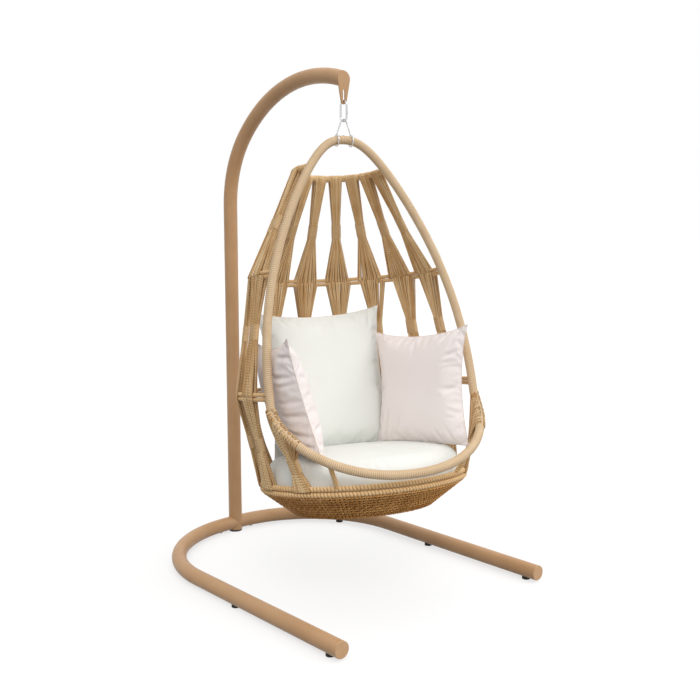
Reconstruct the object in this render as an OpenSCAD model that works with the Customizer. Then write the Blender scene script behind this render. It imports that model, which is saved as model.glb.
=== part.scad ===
// Hanging egg chair: an open wicker egg with loose cushions, hung from a one-armed tube stand.
// Millimetres. Origin on the floor under the middle of the stand, +Z up, front of the stand towards -Y.
// The egg has a frame of its own: origin at the crown of its front hoop, front towards -Y, +Z up.

/* [Stand] */
// Outer diameter of the stand's tubes
tube_d = 60; // [52:1:66]
// Wall thickness of the stand's tubes
tube_wall = 2; // [1.5:0.1:3]
// Distance between the centrelines of the two legs
base_w = 1030; // [990:5:1120]
// Distance from the mast's axis to the front ends of the legs' tubes
leg_reach = 1335; // [1250:5:1420]
// Bend radius of the base's rear corners
base_bend_r = 484; // [400:2:484]
// Straight tube left at least between the mast's axis and each rear corner
back_run = 31; // [31:1:60]
// Height of the end of the mast's straight part above the floor
mast_straight_top = 1488; // [1440:2:1560]
// Radius of the arm's first, tighter bend
arm_bend_1_r = 431; // [410:1:460]
// Angle that the first bend turns through
arm_bend_1_angle = 45; // [40:1:50]
// Length of the straight run between the arm's two bends
arm_mid_run = 8; // [4:1:12]
// Radius of the arm's second, wider bend
arm_bend_2_r = 620; // [600:5:660]
// Distance from the mast's axis to the hanging point
overhang = 762; // [735:1:790]
// Thickness of the leg caps' faces
cap_face = 3; // [2:0.5:5]
// Depth of the plugs and sleeves inside the tubes' ends
plug_depth = 28; // [20:1:40]

/* [Feet and base joint] */
// Height of the rubber feet under the tubes
foot_h = 8; // [6:0.5:12]
// Diameter of the rubber feet
foot_d = 32; // [26:1:38]
// Distance of the front feet behind the legs' front ends
front_foot_back = 56; // [40:2:90]
// Distance of the middle feet behind the legs' front ends
middle_foot_back = 594; // [500:2:700]
// Angle round the rear bends at which the rear feet stand, from straight across
rear_foot_angle = 58; // [40:1:70]
// Angle of base bend that each joining sleeve fills
sleeve_angle = 10; // [8:0.5:14]
// Wall thickness of the joining sleeves
sleeve_wall = 2.2; // [1.5:0.1:3]
// Diameter of the joining bolts
bolt_d = 8; // [6:0.5:10]

/* [Hanging point] */
// Thickness of the teardrop eye plate
plate_t = 5; // [4:0.5:6]
// Distance from the arm's axis down to the floor of the plate's slot
eye_drop = 86; // [78:1:100]
// Width of the slot
slot_w = 10; // [9.5:0.5:12]
// Height of the slot
slot_h = 47; // [36:1:50]
// Width of the plate's narrow end
tab_w = 28; // [24:1:32]
// Metal left under the slot
tab_web = 8; // [6:0.5:9]

/* [Carabiner] */
// Wire diameter of the carabiner
wire_d = 8; // [7:0.5:8.5]
// Distance between the centrelines of the carabiner's two sides
carabiner_w = 34; // [30:1:38]
// Distance between the centrelines of the carabiner's two ends
carabiner_h = 75.5; // [72:0.5:90]
// Length of the sprung gate
gate_len = 30; // [26:1:34]
// Diameter of the gate's hinge pin
gate_pin_d = 2.6; // [2:0.2:3]

/* [Bail] */
// Wire diameter of the bail
bail_wire_d = 6; // [5:0.5:6.5]
// Bend radius of the bail's crown
bail_bend_r = 11; // [10:0.5:14]
// Distance from the bail's crown down to the hoop's centreline
bail_h = 77.5; // [70:0.5:95]
// Distance of each of the bail's eyes from the middle of the hoop
bail_eye_x = 30; // [24:1:36]
// Diameter of the domed screw between the bail's eyes
screw_d = 9; // [6:0.5:12]

/* [Egg: front hoop] */
// Turn of the egg on the stand at rest, seen from above
egg_yaw = -16; // [-30:1:30]
// Lean of the egg at rest, which tips its back down
egg_pitch = -8.15; // [-12:0.05:0]
// Diameter of the corded front hoop
hoop_d = 33; // [28:1:38]
// Half of the hoop's greatest width, at its centreline
hoop_half_w = 418; // [380:1:450]
// Height of the hoop's crown above its widest level
hoop_upper_h = 988; // [940:4:1040]
// Height of the hoop's widest level above its lip
hoop_lower_h = 250; // [220:2:270]
// Fullness of the hoop's upper part: 2 is an ellipse, more is squarer
hoop_upper_n = 2.28; // [2.1:0.01:2.5]
// Fullness of the hoop's lower part
hoop_lower_n = 2.13; // [1.9:0.01:2.4]
// Amount by which the hoop's shoulders are drawn in
hoop_pinch = 89; // [70:1:105]
// Forward lean of the hoop per unit of height
hoop_lean = 0.139; // [0.11:0.001:0.17]
// Forward bow of the hoop's sides
hoop_bow = 11; // [0:0.5:25]
// Forward kick of the hoop's lip
hoop_kick = 217; // [190:1:240]
// Softness of the hoop's turn into its lip: more is rounder
hoop_turn_softness = 0.15; // [0.05:0.05:0.4]

/* [Egg: rings] */
// Diameter of the corded ring rods
ring_d = 16; // [13:1:18]
// Diameter of the single top bar
top_bar_d = 18; // [15:1:21]
// Diameter of the corded seat rim rods
rim_d = 20; // [16:1:22]
// Distance of the top bar below the hoop's crown
top_bar_z = 108.5; // [95:0.5:125]
// Half width of the top bar
top_bar_a = 174.5; // [172:0.5:200]
// Distance of the top bar's back behind the hoop's crown
top_bar_back = 219; // [200:1:240]
// Distance of the upper ring below the hoop's crown
upper_ring_z = 510; // [480:2:540]
// Half width of the upper ring
upper_ring_a = 370; // [368:1:400]
// Distance of the upper ring's back behind the hoop's crown
upper_ring_back = 405; // [380:1:430]
// Height of the lower ring above the hoop's widest level
lower_ring_rise = 40; // [22:2:68]
// Distance of the lower ring below the hoop's crown
lower_ring_z = hoop_upper_h - lower_ring_rise;
// Half width of the lower ring
lower_ring_a = 445; // [438:1:480]
// Distance of the lower ring's back behind the hoop's crown
lower_ring_back = 491; // [470:1:520]
// Distance of the seat rim below the hoop's lip
rim_drop = 48; // [38:0.5:72]
// Distance of the seat rim below the hoop's crown
rim_z = hoop_upper_h + hoop_lower_h + rim_drop;
// Half width of the seat rim
rim_a = 393; // [380:1:410]
// Half depth of the seat rim
rim_b = 340; // [325:1:350]

/* [Egg: sheaves and basket] */
// Number of straw sheaves round each tier, with one at the middle of the back
sheaf_count = 9; // [7:2:9]
// Angle from one sheaf of the top tier to the next
top_sheaf_step = 21.5; // [18:0.5:22]
// Angle from one sheaf of the lower tiers to the next
sheaf_step = 22.5; // [18:0.5:23]
// Turn of all sheaves round the egg, seen from above
sheaf_turn = 3.4; // [0:0.2:4]
// Thickness of a sheaf front to back
sheaf_t = 20; // [14:1:24]
// Width of a top sheaf at the top bar
top_sheaf_top_w = 50; // [40:1:60]
// Width of a top sheaf at its waist
top_sheaf_waist_w = 34; // [26:1:40]
// Width of a top sheaf at the upper ring
top_sheaf_foot_w = 100; // [80:1:110]
// Width of a middle sheaf at the upper ring
middle_sheaf_top_w = 104; // [80:1:112]
// Width of a middle sheaf at its waist
middle_sheaf_waist_w = 46; // [36:1:56]
// Width of a middle sheaf at the lower ring
middle_sheaf_foot_w = 90; // [70:1:110]
// Width of a bottom sheaf at the lower ring
bottom_sheaf_top_w = 86; // [70:1:110]
// Width of a bottom sheaf at its waist
bottom_sheaf_waist_w = 38; // [30:1:50]
// Width of a bottom sheaf at the rim
bottom_sheaf_foot_w = 78; // [60:1:90]
// Width of a front sheaf along the hoop
front_sheaf_top_w = 180; // [150:1:190]
// Width of a front sheaf at its waist
front_sheaf_waist_w = 40; // [30:1:50]
// Width of a front sheaf at the rim
front_sheaf_foot_w = 66; // [50:1:80]
// Wall of the wrapped bands round the sheaves' waists
band_t = 3; // [2:0.5:5]
// Half width of the basket's floor
floor_a = 272; // [250:1:290]
// Half depth of the basket's floor
floor_b = 228; // [210:1:245]
// Distance of the floor's middle behind the rim's middle
floor_back = 20; // [0:1:40]
// Depth of the basket's underside below the seat rim
basket_h = 119; // [104:0.5:144]
// Distance of the basket's underside below the hoop's crown
floor_z = rim_z + basket_h;
// Thickness of the woven basket and its floor
weave_t = 6; // [4:0.5:8]
// Diameter of the two short front struts
strut_d = 18; // [14:1:22]

/* [Cushions] */
// Height of the seat cushion's crown above the top of the rim
seat_crown = 92; // [70:1:100]
// Depth of the seat cushion's underside below the underside of the rim
seat_sink = 6; // [4:1:40]
// Width of the back cushion
back_w = 530; // [480:5:540]
// Height of the back cushion
back_h = 570; // [520:5:580]
// Thickness of the back cushion
back_t = 165; // [120:5:175]
// Width and height of the two side pillows
pillow_size = 450; // [400:5:460]
// Thickness of the two side pillows
pillow_t = 140; // [100:5:145]
// Space left between a soft piece and what it lies against
soft_gap = 0.5; // [0.3:0.1:2]
// Place of the back cushion's middle across the egg
back_x = -18; // [-24:1:-12]
// Distance of the back cushion's middle behind the hoop's crown
back_y = 250; // [240:1:252]
// Depth to which the back cushion's foot lies below the seat cushion's crown
back_sink = 28; // [20:1:34]
// Place of the left pillow's middle across the egg
left_x = -296; // [-298:0.5:-280]
// Distance of the left pillow's middle behind the hoop's crown
left_y = -14; // [-18:0.5:-10]
// Depth to which the left pillow's foot lies below the seat cushion's crown
left_sink = 24; // [18:0.5:28]
// Place of the right pillow's middle across the egg
right_x = 266.5; // [255:0.5:267]
// Distance of the right pillow's middle behind the hoop's crown
right_y = -4; // [-8:0.5:4]
// Depth to which the right pillow's foot lies below the seat cushion's crown
right_sink = 13.5; // [10:0.5:18]

/* [Hidden] */

// Clearance between pieces that seat on one another
fit = 0.3;
// Play at the loose joints of the hanging chain
play = 0.5;
// Clearance of the gate's pin in the tongue that holds it
pin_fit = 0.1;
// Small step between surfaces that run into one another, and the length over which they lap
weld_sink = 0.1;
weld_lap = 1;
// Clearance of the bail's eyes round the hoop
eye_play = 1.4;
// Facets that make a circle exact
ROUND = 48;
// Sides and rings of the swept rods
HOOP_SIDES = 10;
ROD_SIDES = 8;
HOOP_STEP = 4.5;
RING_STEPS = 30;
RIM_STEPS = 48;

tan_paint = [0.72, 0.58, 0.44];
steel = [0.80, 0.80, 0.82];
black_rubber = [0.10, 0.10, 0.10];
cord_pale = [0.85, 0.74, 0.58];
straw = [0.66, 0.50, 0.32];
weave_brown = [0.42, 0.28, 0.14];
ivory = [0.94, 0.93, 0.90];
blush = [0.90, 0.84, 0.81];

tube_r = tube_d / 2;
tube_bore_r = tube_r - tube_wall;
base_axis_z = foot_h + tube_r;
base_depth = leg_reach + cap_face + tube_r;
mast_y = base_depth / 2 - tube_r;
leg_tip_y = mast_y - leg_reach;
corner_r = min(base_bend_r, base_w / 2 - back_run);
base_bend_x = base_w / 2 - corner_r;
base_bend_y = mast_y - corner_r;

hang_y = mast_y - overhang;
bend_1_y = mast_y - arm_bend_1_r;
mid_run_y = -arm_mid_run * sin(arm_bend_1_angle);
mid_run_z = arm_mid_run * cos(arm_bend_1_angle);
bend_2_y = bend_1_y + (arm_bend_1_r - arm_bend_2_r) * cos(arm_bend_1_angle) + mid_run_y;
bend_2_z = mast_straight_top + (arm_bend_1_r - arm_bend_2_r) * sin(arm_bend_1_angle) + mid_run_z;
tip_angle = acos((hang_y - bend_2_y) / arm_bend_2_r);
tip_z = bend_2_z + arm_bend_2_r * sin(tip_angle);
// Degrees by which the arm's bend runs on past the eye plate before it is cut level with it
tip_margin = 6;

slot_floor_z = tip_z - eye_drop;
carabiner_top_z = slot_floor_z + wire_d / 2 + play;
carabiner_bottom_z = carabiner_top_z - carabiner_h;
carabiner_r = carabiner_w / 2;
// Straight wire between the carabiner's top bend and its gate
gate_stub = 4;
gate_top_z = carabiner_top_z - carabiner_r - gate_stub;
gate_bottom_z = gate_top_z - gate_len;
// Width of the tongue that the gate's fork straddles
gate_tongue_w = 3;

bail_crown_z = carabiner_bottom_z + wire_d / 2 + bail_wire_d / 2 + play;
crown_z = bail_crown_z - bail_h;
bail_centre_z = bail_crown_z - bail_bend_r;
hoop_r = hoop_d / 2;
bail_eye_r = hoop_r + eye_play + bail_wire_d / 2;

// ---------- curves of the egg ----------

// Rise from 0 to 1 with x that starts level and straightens over a share e
function soft_rise(x, e) = (sqrt(x * x + e * e) - e) / (sqrt(1 + e * e) - e);

// Point of the front hoop at angle t, 0 at the crown and 180 at the lip, side +1 or -1
function hoop_point(t, side = 1) =
    let (c = cos(t), s = abs(sin(t)), up = c >= 0)
    let (z = up ? -hoop_upper_h * (1 - pow(c, 2 / hoop_upper_n))
                : -hoop_upper_h - hoop_lower_h * pow(-c, 2 / hoop_lower_n))
    let (w = up ? hoop_half_w * pow(s, 2 / hoop_upper_n) - hoop_pinch * sin(2 * t) * c
                : hoop_half_w * pow(s, 2 / hoop_lower_n))
    let (y = hoop_lean * z - hoop_bow * (up ? s * s : s) - (up ? 0 : hoop_kick * soft_rise(-c, hoop_turn_softness)))
    [side * w, y, z];

// Hoop angle at a level z between the crown and the widest level
function hoop_angle(z) = acos(pow(1 + z / hoop_upper_h, hoop_upper_n / 2));

// Half ellipse of a ring through the hoop at level z: [half width, half depth, centre y, end angle]
function ring_shape(z, a, back) =
    let (p = hoop_point(hoop_angle(z)))
    let (k = sqrt(1 - pow(p[0] / a, 2)))
    let (centre = (p[1] + k * back) / (1 + k))
    [a, back - centre, centre, 180 - asin(p[0] / a)];

// Point of a ring or rim at angle t from the middle of the back
function ellipse_point(shape, z, t) = [shape[0] * sin(t), shape[2] + shape[1] * cos(t), z];

// Degrees of ring that a length along it takes near angle t
function arc_degrees(shape, t, length) =
    length / norm([shape[0] * cos(t), shape[1] * sin(t)]) * 180 / PI;

// Path of a ring rod that stops where it meets the hoop
function ring_path(z, a, back) =
    let (shape = ring_shape(z, a, back))
    let (stop = shape[3] - arc_degrees(shape, shape[3], hoop_r + fit))
    [for (i = [0 : RING_STEPS]) ellipse_point(shape, z, -stop + 2 * stop * i / RING_STEPS)];

// Closed path of a rim rod
function rim_path(z) =
    [for (i = [0 : RIM_STEPS - 1]) ellipse_point(rim_shape, z, 360 * i / RIM_STEPS)];

rim_shape = [rim_a, rim_b, 0, 180];
upper_ring_rod_z = [-upper_ring_z + ring_d / 2 + fit / 2, -upper_ring_z - ring_d / 2 - fit / 2];
lower_ring_rod_z = [-lower_ring_z + ring_d / 2 + fit / 2, -lower_ring_z - ring_d / 2 - fit / 2];
rim_rod_z = [-rim_z + rim_d / 2 + fit / 2, -rim_z - rim_d / 2 - fit / 2];
top_bar_shape = ring_shape(-top_bar_z, top_bar_a, top_bar_back);
upper_ring_shape = ring_shape(-upper_ring_z, upper_ring_a, upper_ring_back);
lower_ring_shape = ring_shape(-lower_ring_z, lower_ring_a, lower_ring_back);
floor_shape = [floor_a, floor_b, floor_back, 180];

// ---------- swept and lofted bodies ----------

function unit(v) = v / norm(v);

// Distance along a way at which a rod's square end just clears another rod that runs across it
function stand_off(way, run, rod_r, own_r) =
    (rod_r + fit + own_r * abs(way * run)) / norm(cross(way, run));

// Heading of the front hoop at angle t
function hoop_run(t, side) = unit(hoop_point(t + 1, side) - hoop_point(t - 1, side));

// Direction of travel at point i of a path
function heading(path, i, closed) =
    let (n = len(path))
    closed ? unit(path[(i + 1) % n] - path[(i + n - 1) % n])
           : unit(path[min(i + 1, n - 1)] - path[max(i - 1, 0)]);

// Ring of points round point i of a path, square to it, with one point towards the guide
function rod_ring(path, i, r, sides, guide, closed) =
    let (t = heading(path, i, closed))
    let (u = unit(guide - (guide * t) * t))
    let (v = cross(t, u))
    [for (k = [0 : sides - 1]) path[i] + r * (cos(360 * k / sides) * u + sin(360 * k / sides) * v)];

// Triangles between successive rings of points
function skin_faces(rings, sides, closed) =
    [for (i = [0 : rings - (closed ? 1 : 2)], k = [0 : sides - 1], half = [0, 1])
        let (a = i * sides + k, b = i * sides + (k + 1) % sides)
        let (c = ((i + 1) % rings) * sides + k, d = ((i + 1) % rings) * sides + (k + 1) % sides)
        half == 0 ? [a, c, b] : [b, c, d]];

// Flat fans that close the first and last rings
function end_faces(rings, sides) = concat(
    [for (k = [1 : sides - 2]) [0, k, k + 1]],
    [for (k = [1 : sides - 2]) let (o = (rings - 1) * sides) [o, o + k + 1, o + k]]);

// Round rod along a path
module rod(path, r, sides, guide, closed = false) {
    points = [for (i = [0 : len(path) - 1]) each rod_ring(path, i, r, sides, guide, closed)];
    faces = skin_faces(len(path), sides, closed);
    polyhedron(points, closed ? faces : concat(faces, end_faces(len(path), sides)), convexity = 6);
}

// Closed body through a stack of rings with equal numbers of points
module loft(rings) {
    sides = len(rings[0]);
    polyhedron(
        [for (ring = rings) each ring],
        concat(skin_faces(len(rings), sides, false), end_faces(len(rings), sides)),
        convexity = 6);
}

// Sleeve between an outer and an inner stack of rings
module sleeve_loft(outer, inner) {
    sides = len(outer[0]);
    loop = concat(outer, [for (i = [len(inner) - 1 : -1 : 0]) inner[i]]);
    polyhedron([for (ring = loop) each ring], skin_faces(len(loop), sides, true), convexity = 6);
}

module in_egg() {
    translate([0, hang_y, crown_z])
        rotate([0, 0, egg_yaw])
            rotate([egg_pitch, 0, 0])
                children();
}

// ---------- stand ----------

// Round bar along one half of the base, from the mast's axis to the leg's front end
module base_bar(r) {
    translate([0, mast_y, base_axis_z])
        rotate([0, 90, 0])
            cylinder(h = base_bend_x, r = r, $fn = ROUND);
    translate([base_bend_x, base_bend_y, base_axis_z])
        rotate_extrude(angle = 90, $fn = ROUND)
            translate([corner_r, 0])
                circle(r = r, $fn = ROUND);
    translate([base_w / 2, leg_tip_y, base_axis_z])
        rotate([-90, 0, 0])
            cylinder(h = base_bend_y - leg_tip_y, r = r, $fn = ROUND);
}

// Place a piece on the rear bend, at an angle from straight across
module on_bend(angle) {
    translate([base_bend_x, base_bend_y, 0])
        rotate([0, 0, 90 - angle])
            translate([corner_r, 0, 0])
                children();
}

// Upright core of the mast's diameter, to cope what butts against it
module mast_cope() {
    translate([0, mast_y, 0])
        cylinder(h = 3 * tube_d, r = tube_r + fit, $fn = ROUND);
}

bolt_angle = sleeve_angle * 0.62;

module half_base() {
    difference() {
        base_bar(tube_r);
        base_bar(tube_bore_r);
        mast_cope();
        translate([base_w / 2, leg_tip_y, base_axis_z])
            rotate([90, 0, 0])
                cylinder(h = tube_d, r = tube_bore_r, center = true, $fn = ROUND);
        on_bend(bolt_angle)
            cylinder(h = base_axis_z, r = bolt_d / 2 + fit, $fn = ROUND);
    }
}

module base_tube_right() {
    color(tan_paint) half_base();
}

module base_tube_left() {
    color(tan_paint) mirror([1, 0, 0]) half_base();
}

// Cross-section of the stand's tubes, its wall drawn in from both faces by an amount
module tube_section(sink = 0) {
    difference() {
        circle(r = tube_r - sink, $fn = ROUND);
        circle(r = tube_bore_r + sink, $fn = ROUND);
    }
}

// Bend of the arm in its own upright plane, from one angle to another
module arm_bend(radius, from, to) {
    rotate([90, 0, 90])
        rotate([0, 0, from])
            rotate_extrude(angle = to - from, $fn = ROUND)
                translate([radius, 0])
                    tube_section();
}

module mast() {
    color(tan_paint) {
        translate([0, mast_y, foot_h])
            linear_extrude(height = mast_straight_top - foot_h)
                tube_section();
        translate([0, bend_1_y, mast_straight_top])
            arm_bend(arm_bend_1_r, 0, arm_bend_1_angle);
        translate([0, bend_2_y - mid_run_y, bend_2_z - mid_run_z])
            rotate([arm_bend_1_angle, 0, 0])
                translate([0, arm_bend_2_r, -weld_lap])
                    linear_extrude(height = arm_mid_run + 2 * weld_lap)
                        tube_section(weld_sink);
        difference() {
            translate([0, bend_2_y, bend_2_z])
                arm_bend(arm_bend_2_r, arm_bend_1_angle, tip_angle + tip_margin);
            translate([-tube_d, hang_y + plate_t / 2 - 3 * tube_d, tip_z - 2 * tube_d])
                cube([2 * tube_d, 3 * tube_d, 4 * tube_d]);
        }
    }
}

module half_sleeve() {
    sleeve_r = tube_bore_r - fit;
    difference() {
        translate([base_bend_x, base_bend_y, base_axis_z])
            rotate([0, 0, 90 - sleeve_angle])
                rotate_extrude(angle = sleeve_angle, $fn = ROUND)
                    translate([corner_r, 0])
                        difference() {
                            circle(r = sleeve_r, $fn = ROUND);
                            circle(r = sleeve_r - sleeve_wall, $fn = ROUND);
                        }
        mast_cope();
        on_bend(bolt_angle)
            cylinder(h = base_axis_z, r = bolt_d / 2 + fit, $fn = ROUND);
    }
}

module base_sleeves() {
    color(steel) {
        half_sleeve();
        mirror([1, 0, 0]) half_sleeve();
    }
}

module base_bolt() {
    head_h = foot_h * 0.55;
    on_bend(bolt_angle) {
        translate([0, 0, foot_h - head_h - fit])
            cylinder(h = head_h, r = bolt_d, $fn = ROUND);
        translate([0, 0, foot_h - head_h])
            cylinder(h = head_h + tube_wall + sleeve_wall + bolt_d, r = bolt_d / 2, $fn = ROUND);
        translate([0, 0, foot_h + tube_wall + sleeve_wall + 2 * fit + 1])
            cylinder(h = bolt_d * 0.8, r = bolt_d * 0.8, $fn = 6);
    }
}

module base_bolts() {
    color(steel) {
        base_bolt();
        mirror([1, 0, 0]) base_bolt();
    }
}

module leg_end_cap() {
    translate([base_w / 2, leg_tip_y, base_axis_z])
        rotate([90, 0, 0]) {
            cylinder(h = cap_face, r1 = tube_r, r2 = tube_r - 1, $fn = ROUND);
            translate([0, 0, -plug_depth])
                cylinder(h = plug_depth, r = tube_bore_r - fit, $fn = ROUND);
        }
}

module leg_end_caps() {
    color(tan_paint) {
        leg_end_cap();
        mirror([1, 0, 0]) leg_end_cap();
    }
}

// Feet of one half of the base, coped to the tube above them
module half_feet() {
    difference() {
        union() {
            translate([base_w / 2, leg_tip_y + front_foot_back, 0])
                cylinder(h = foot_h * 1.7, r = foot_d / 2, $fn = ROUND);
            translate([base_w / 2, leg_tip_y + middle_foot_back, 0])
                cylinder(h = foot_h * 1.7, r = foot_d / 2, $fn = ROUND);
            on_bend(rear_foot_angle)
                cylinder(h = foot_h * 1.7, r = foot_d / 2, $fn = ROUND);
        }
        base_bar(tube_r + fit / 2);
    }
}

module rubber_feet() {
    color(black_rubber) {
        half_feet();
        mirror([1, 0, 0]) half_feet();
    }
}

module mast_foot() {
    color(black_rubber)
        translate([0, mast_y, 0]) {
            cylinder(h = foot_h - fit / 2, r = tube_r - 1, $fn = ROUND);
            cylinder(h = foot_h + plug_depth, r = tube_bore_r - fit, $fn = ROUND);
        }
}

module eye_plate() {
    disc_r = tube_r;
    tab_r = tab_w / 2;
    tab_z = slot_floor_z - tab_web + tab_r;
    slope = asin((disc_r - tab_r) / (tip_z - tab_z));
    side_r = disc_r - weld_sink;
    side_tab_r = tab_r - weld_sink;
    color(tan_paint)
        translate([0, hang_y + plate_t / 2, 0])
            rotate([90, 0, 0])
                difference() {
                    union() {
                        translate([0, tip_z, 0])
                            cylinder(h = plate_t, r = disc_r, $fn = ROUND);
                        translate([0, tab_z, 0])
                            cylinder(h = plate_t, r = tab_r, $fn = ROUND);
                        linear_extrude(height = plate_t)
                            polygon([
                                [side_r * cos(slope), tip_z - side_r * sin(slope)],
                                [side_tab_r * cos(slope), tab_z - side_tab_r * sin(slope)],
                                [-side_tab_r * cos(slope), tab_z - side_tab_r * sin(slope)],
                                [-side_r * cos(slope), tip_z - side_r * sin(slope)]
                            ]);
                    }
                    translate([0, slot_floor_z + slot_w / 2, -1])
                        cylinder(h = plate_t + 2, r = slot_w / 2, $fn = ROUND);
                    translate([-slot_w / 2, slot_floor_z + slot_w / 2, -1])
                        cube([slot_w, slot_h - slot_w, plate_t + 2]);
                    translate([0, slot_floor_z + slot_h - slot_w / 2, -1])
                        cylinder(h = plate_t + 2, r = slot_w / 2, $fn = ROUND);
                }
}

// ---------- hanging chain ----------

// Half ring of carabiner wire, opening downwards, in the plane of the arm
module carabiner_end() {
    rotate([90, 0, 90])
        rotate_extrude(angle = 180, $fn = ROUND)
            translate([carabiner_r, 0])
                circle(r = wire_d / 2, $fn = ROUND);
}

gate_y = -carabiner_r;
gate_pin_z = gate_bottom_z + wire_d / 2;

module carabiner() {
    top_z = carabiner_top_z - carabiner_r;
    bottom_z = carabiner_bottom_z + carabiner_r;
    color(steel)
        translate([0, hang_y, 0])
            difference() {
                union() {
                    translate([0, 0, top_z]) carabiner_end();
                    translate([0, 0, bottom_z]) rotate([180, 0, 0]) carabiner_end();
                    translate([0, carabiner_r, bottom_z])
                        cylinder(h = top_z - bottom_z, r = wire_d / 2, $fn = ROUND);
                    translate([0, gate_y, gate_top_z + play])
                        cylinder(h = top_z - gate_top_z - play, r = wire_d / 2, $fn = ROUND);
                    translate([0, gate_y, bottom_z])
                        cylinder(h = gate_bottom_z - play - bottom_z, r = wire_d / 2, $fn = ROUND);
                    translate([-gate_tongue_w / 2, gate_y - wire_d / 2 + 1, gate_bottom_z - 2 * play])
                        cube([gate_tongue_w, wire_d - 2, wire_d / 2 + gate_pin_d + 2 * play]);
                }
                translate([0, gate_y, gate_pin_z])
                    rotate([0, 90, 0])
                        cylinder(h = 2 * wire_d, r = gate_pin_d / 2 + pin_fit, center = true, $fn = ROUND);
            }
}

module carabiner_gate() {
    color(steel)
        translate([0, hang_y + gate_y, 0])
            difference() {
                translate([0, 0, gate_pin_z]) {
                    sphere(r = wire_d / 2, $fn = ROUND);
                    cylinder(h = gate_top_z - gate_pin_z, r = wire_d / 2, $fn = ROUND);
                }
                translate([-gate_tongue_w / 2 - fit, -wire_d, gate_bottom_z - 1])
                    cube([gate_tongue_w + 2 * fit, 2 * wire_d, wire_d + 2 + gate_pin_d]);
                translate([0, 0, gate_pin_z])
                    rotate([0, 90, 0])
                        cylinder(h = 2 * wire_d, r = gate_pin_d / 2 + fit, center = true, $fn = ROUND);
            }
}

module gate_pin() {
    color(steel)
        translate([0, hang_y + gate_y, gate_pin_z])
            rotate([0, 90, 0])
                cylinder(h = wire_d - 0.6, r = gate_pin_d / 2, center = true, $fn = ROUND);
}

eye_drop_in_egg = -hoop_point(6)[2] * pow(bail_eye_x / hoop_point(6)[0], 2);
bail_eye_z = crown_z - eye_drop_in_egg;
arm_top = [bail_eye_x, bail_eye_z + bail_eye_r - bail_centre_z];
bail_tangent = atan2(arm_top[1], arm_top[0]) + acos(bail_bend_r / norm(arm_top));

module bail_arm() {
    foot = arm_top;
    head = bail_bend_r * [cos(bail_tangent), sin(bail_tangent)];
    run = foot - head;
    translate([head[0], 0, bail_centre_z + head[1]])
        rotate([0, atan2(run[0], run[1]), 0])
            translate([0, 0, -weld_lap])
                cylinder(h = norm(run) + weld_lap, r = bail_wire_d / 2, $fn = ROUND);
    translate([bail_eye_x, 0, bail_eye_z])
        rotate([0, 90, 0])
            rotate_extrude($fn = ROUND)
                translate([bail_eye_r, 0])
                    circle(r = bail_wire_d / 2 + weld_sink, $fn = ROUND);
}

module bail() {
    color(steel)
        translate([0, hang_y, 0])
            rotate([0, 0, egg_yaw]) {
                translate([0, 0, bail_centre_z])
                    rotate([90, 0, 0])
                        rotate([0, 0, bail_tangent])
                            rotate_extrude(angle = 180 - 2 * bail_tangent, $fn = ROUND)
                                translate([bail_bend_r, 0])
                                    circle(r = bail_wire_d / 2 + weld_sink, $fn = ROUND);
                bail_arm();
                mirror([1, 0, 0]) bail_arm();
            }
}

module hoop_screw() {
    head_h = 2.5;
    color(steel)
        in_egg()
            translate([0, 0, hoop_r * cos(180 / HOOP_SIDES) + fit])
                cylinder(h = head_h, r1 = screw_d / 2, r2 = screw_d / 4, $fn = ROUND);
}

// ---------- egg frame ----------

module front_hoop() {
    count = round(180 / HOOP_STEP);
    right = [for (i = [0 : count]) hoop_point(180 * i / count, 1)];
    left = [for (i = [count - 1 : -1 : 1]) hoop_point(180 * i / count, -1)];
    color(cord_pale)
        in_egg()
            rod(concat(right, left), hoop_r, HOOP_SIDES, [0, 1, 0], true);
}

module ring_rod(z, a, back, d) {
    color(cord_pale)
        in_egg()
            rod(ring_path(z, a, back), d / 2, ROD_SIDES, [0, 0, 1]);
}

module top_bar() {
    ring_rod(-top_bar_z, top_bar_a, top_bar_back, top_bar_d);
}

module upper_ring_top_rod() {
    ring_rod(upper_ring_rod_z[0], upper_ring_a, upper_ring_back, ring_d);
}

module upper_ring_bottom_rod() {
    ring_rod(upper_ring_rod_z[1], upper_ring_a, upper_ring_back, ring_d);
}

module lower_ring_top_rod() {
    ring_rod(lower_ring_rod_z[0], lower_ring_a, lower_ring_back, ring_d);
}

module lower_ring_bottom_rod() {
    ring_rod(lower_ring_rod_z[1], lower_ring_a, lower_ring_back, ring_d);
}

module rim_rod(z) {
    color(cord_pale)
        in_egg()
            rod(rim_path(z), rim_d / 2, ROD_SIDES, [0, 0, 1], true);
}

module rim_top_rod() {
    rim_rod(rim_rod_z[0]);
}

module rim_bottom_rod() {
    rim_rod(rim_rod_z[1]);
}

// Short strut from the hoop's underside to the top of the rim
strut_hoop_angle = 138;
strut_rim_angle = 143;

module front_strut(side) {
    top = hoop_point(strut_hoop_angle, side);
    foot = ellipse_point(rim_shape, rim_rod_z[0], side * strut_rim_angle);
    way = unit(foot - top);
    rim_run = unit(along_ellipse(rim_shape, side * strut_rim_angle));
    start = top + way * stand_off(way, hoop_run(strut_hoop_angle, side), hoop_r, strut_d / 2);
    stop = foot - way * stand_off(way, rim_run, rim_d / 2, strut_d / 2);
    color(cord_pale)
        in_egg()
            rod([for (i = [0 : 4]) start + (stop - start) * i / 4], strut_d / 2, ROD_SIDES, [0, 1, 0]);
}

module front_strut_left() {
    front_strut(-1);
}

module front_strut_right() {
    front_strut(1);
}

// ---------- sheaves ----------

SHEAF_SIDES = 10;

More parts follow.
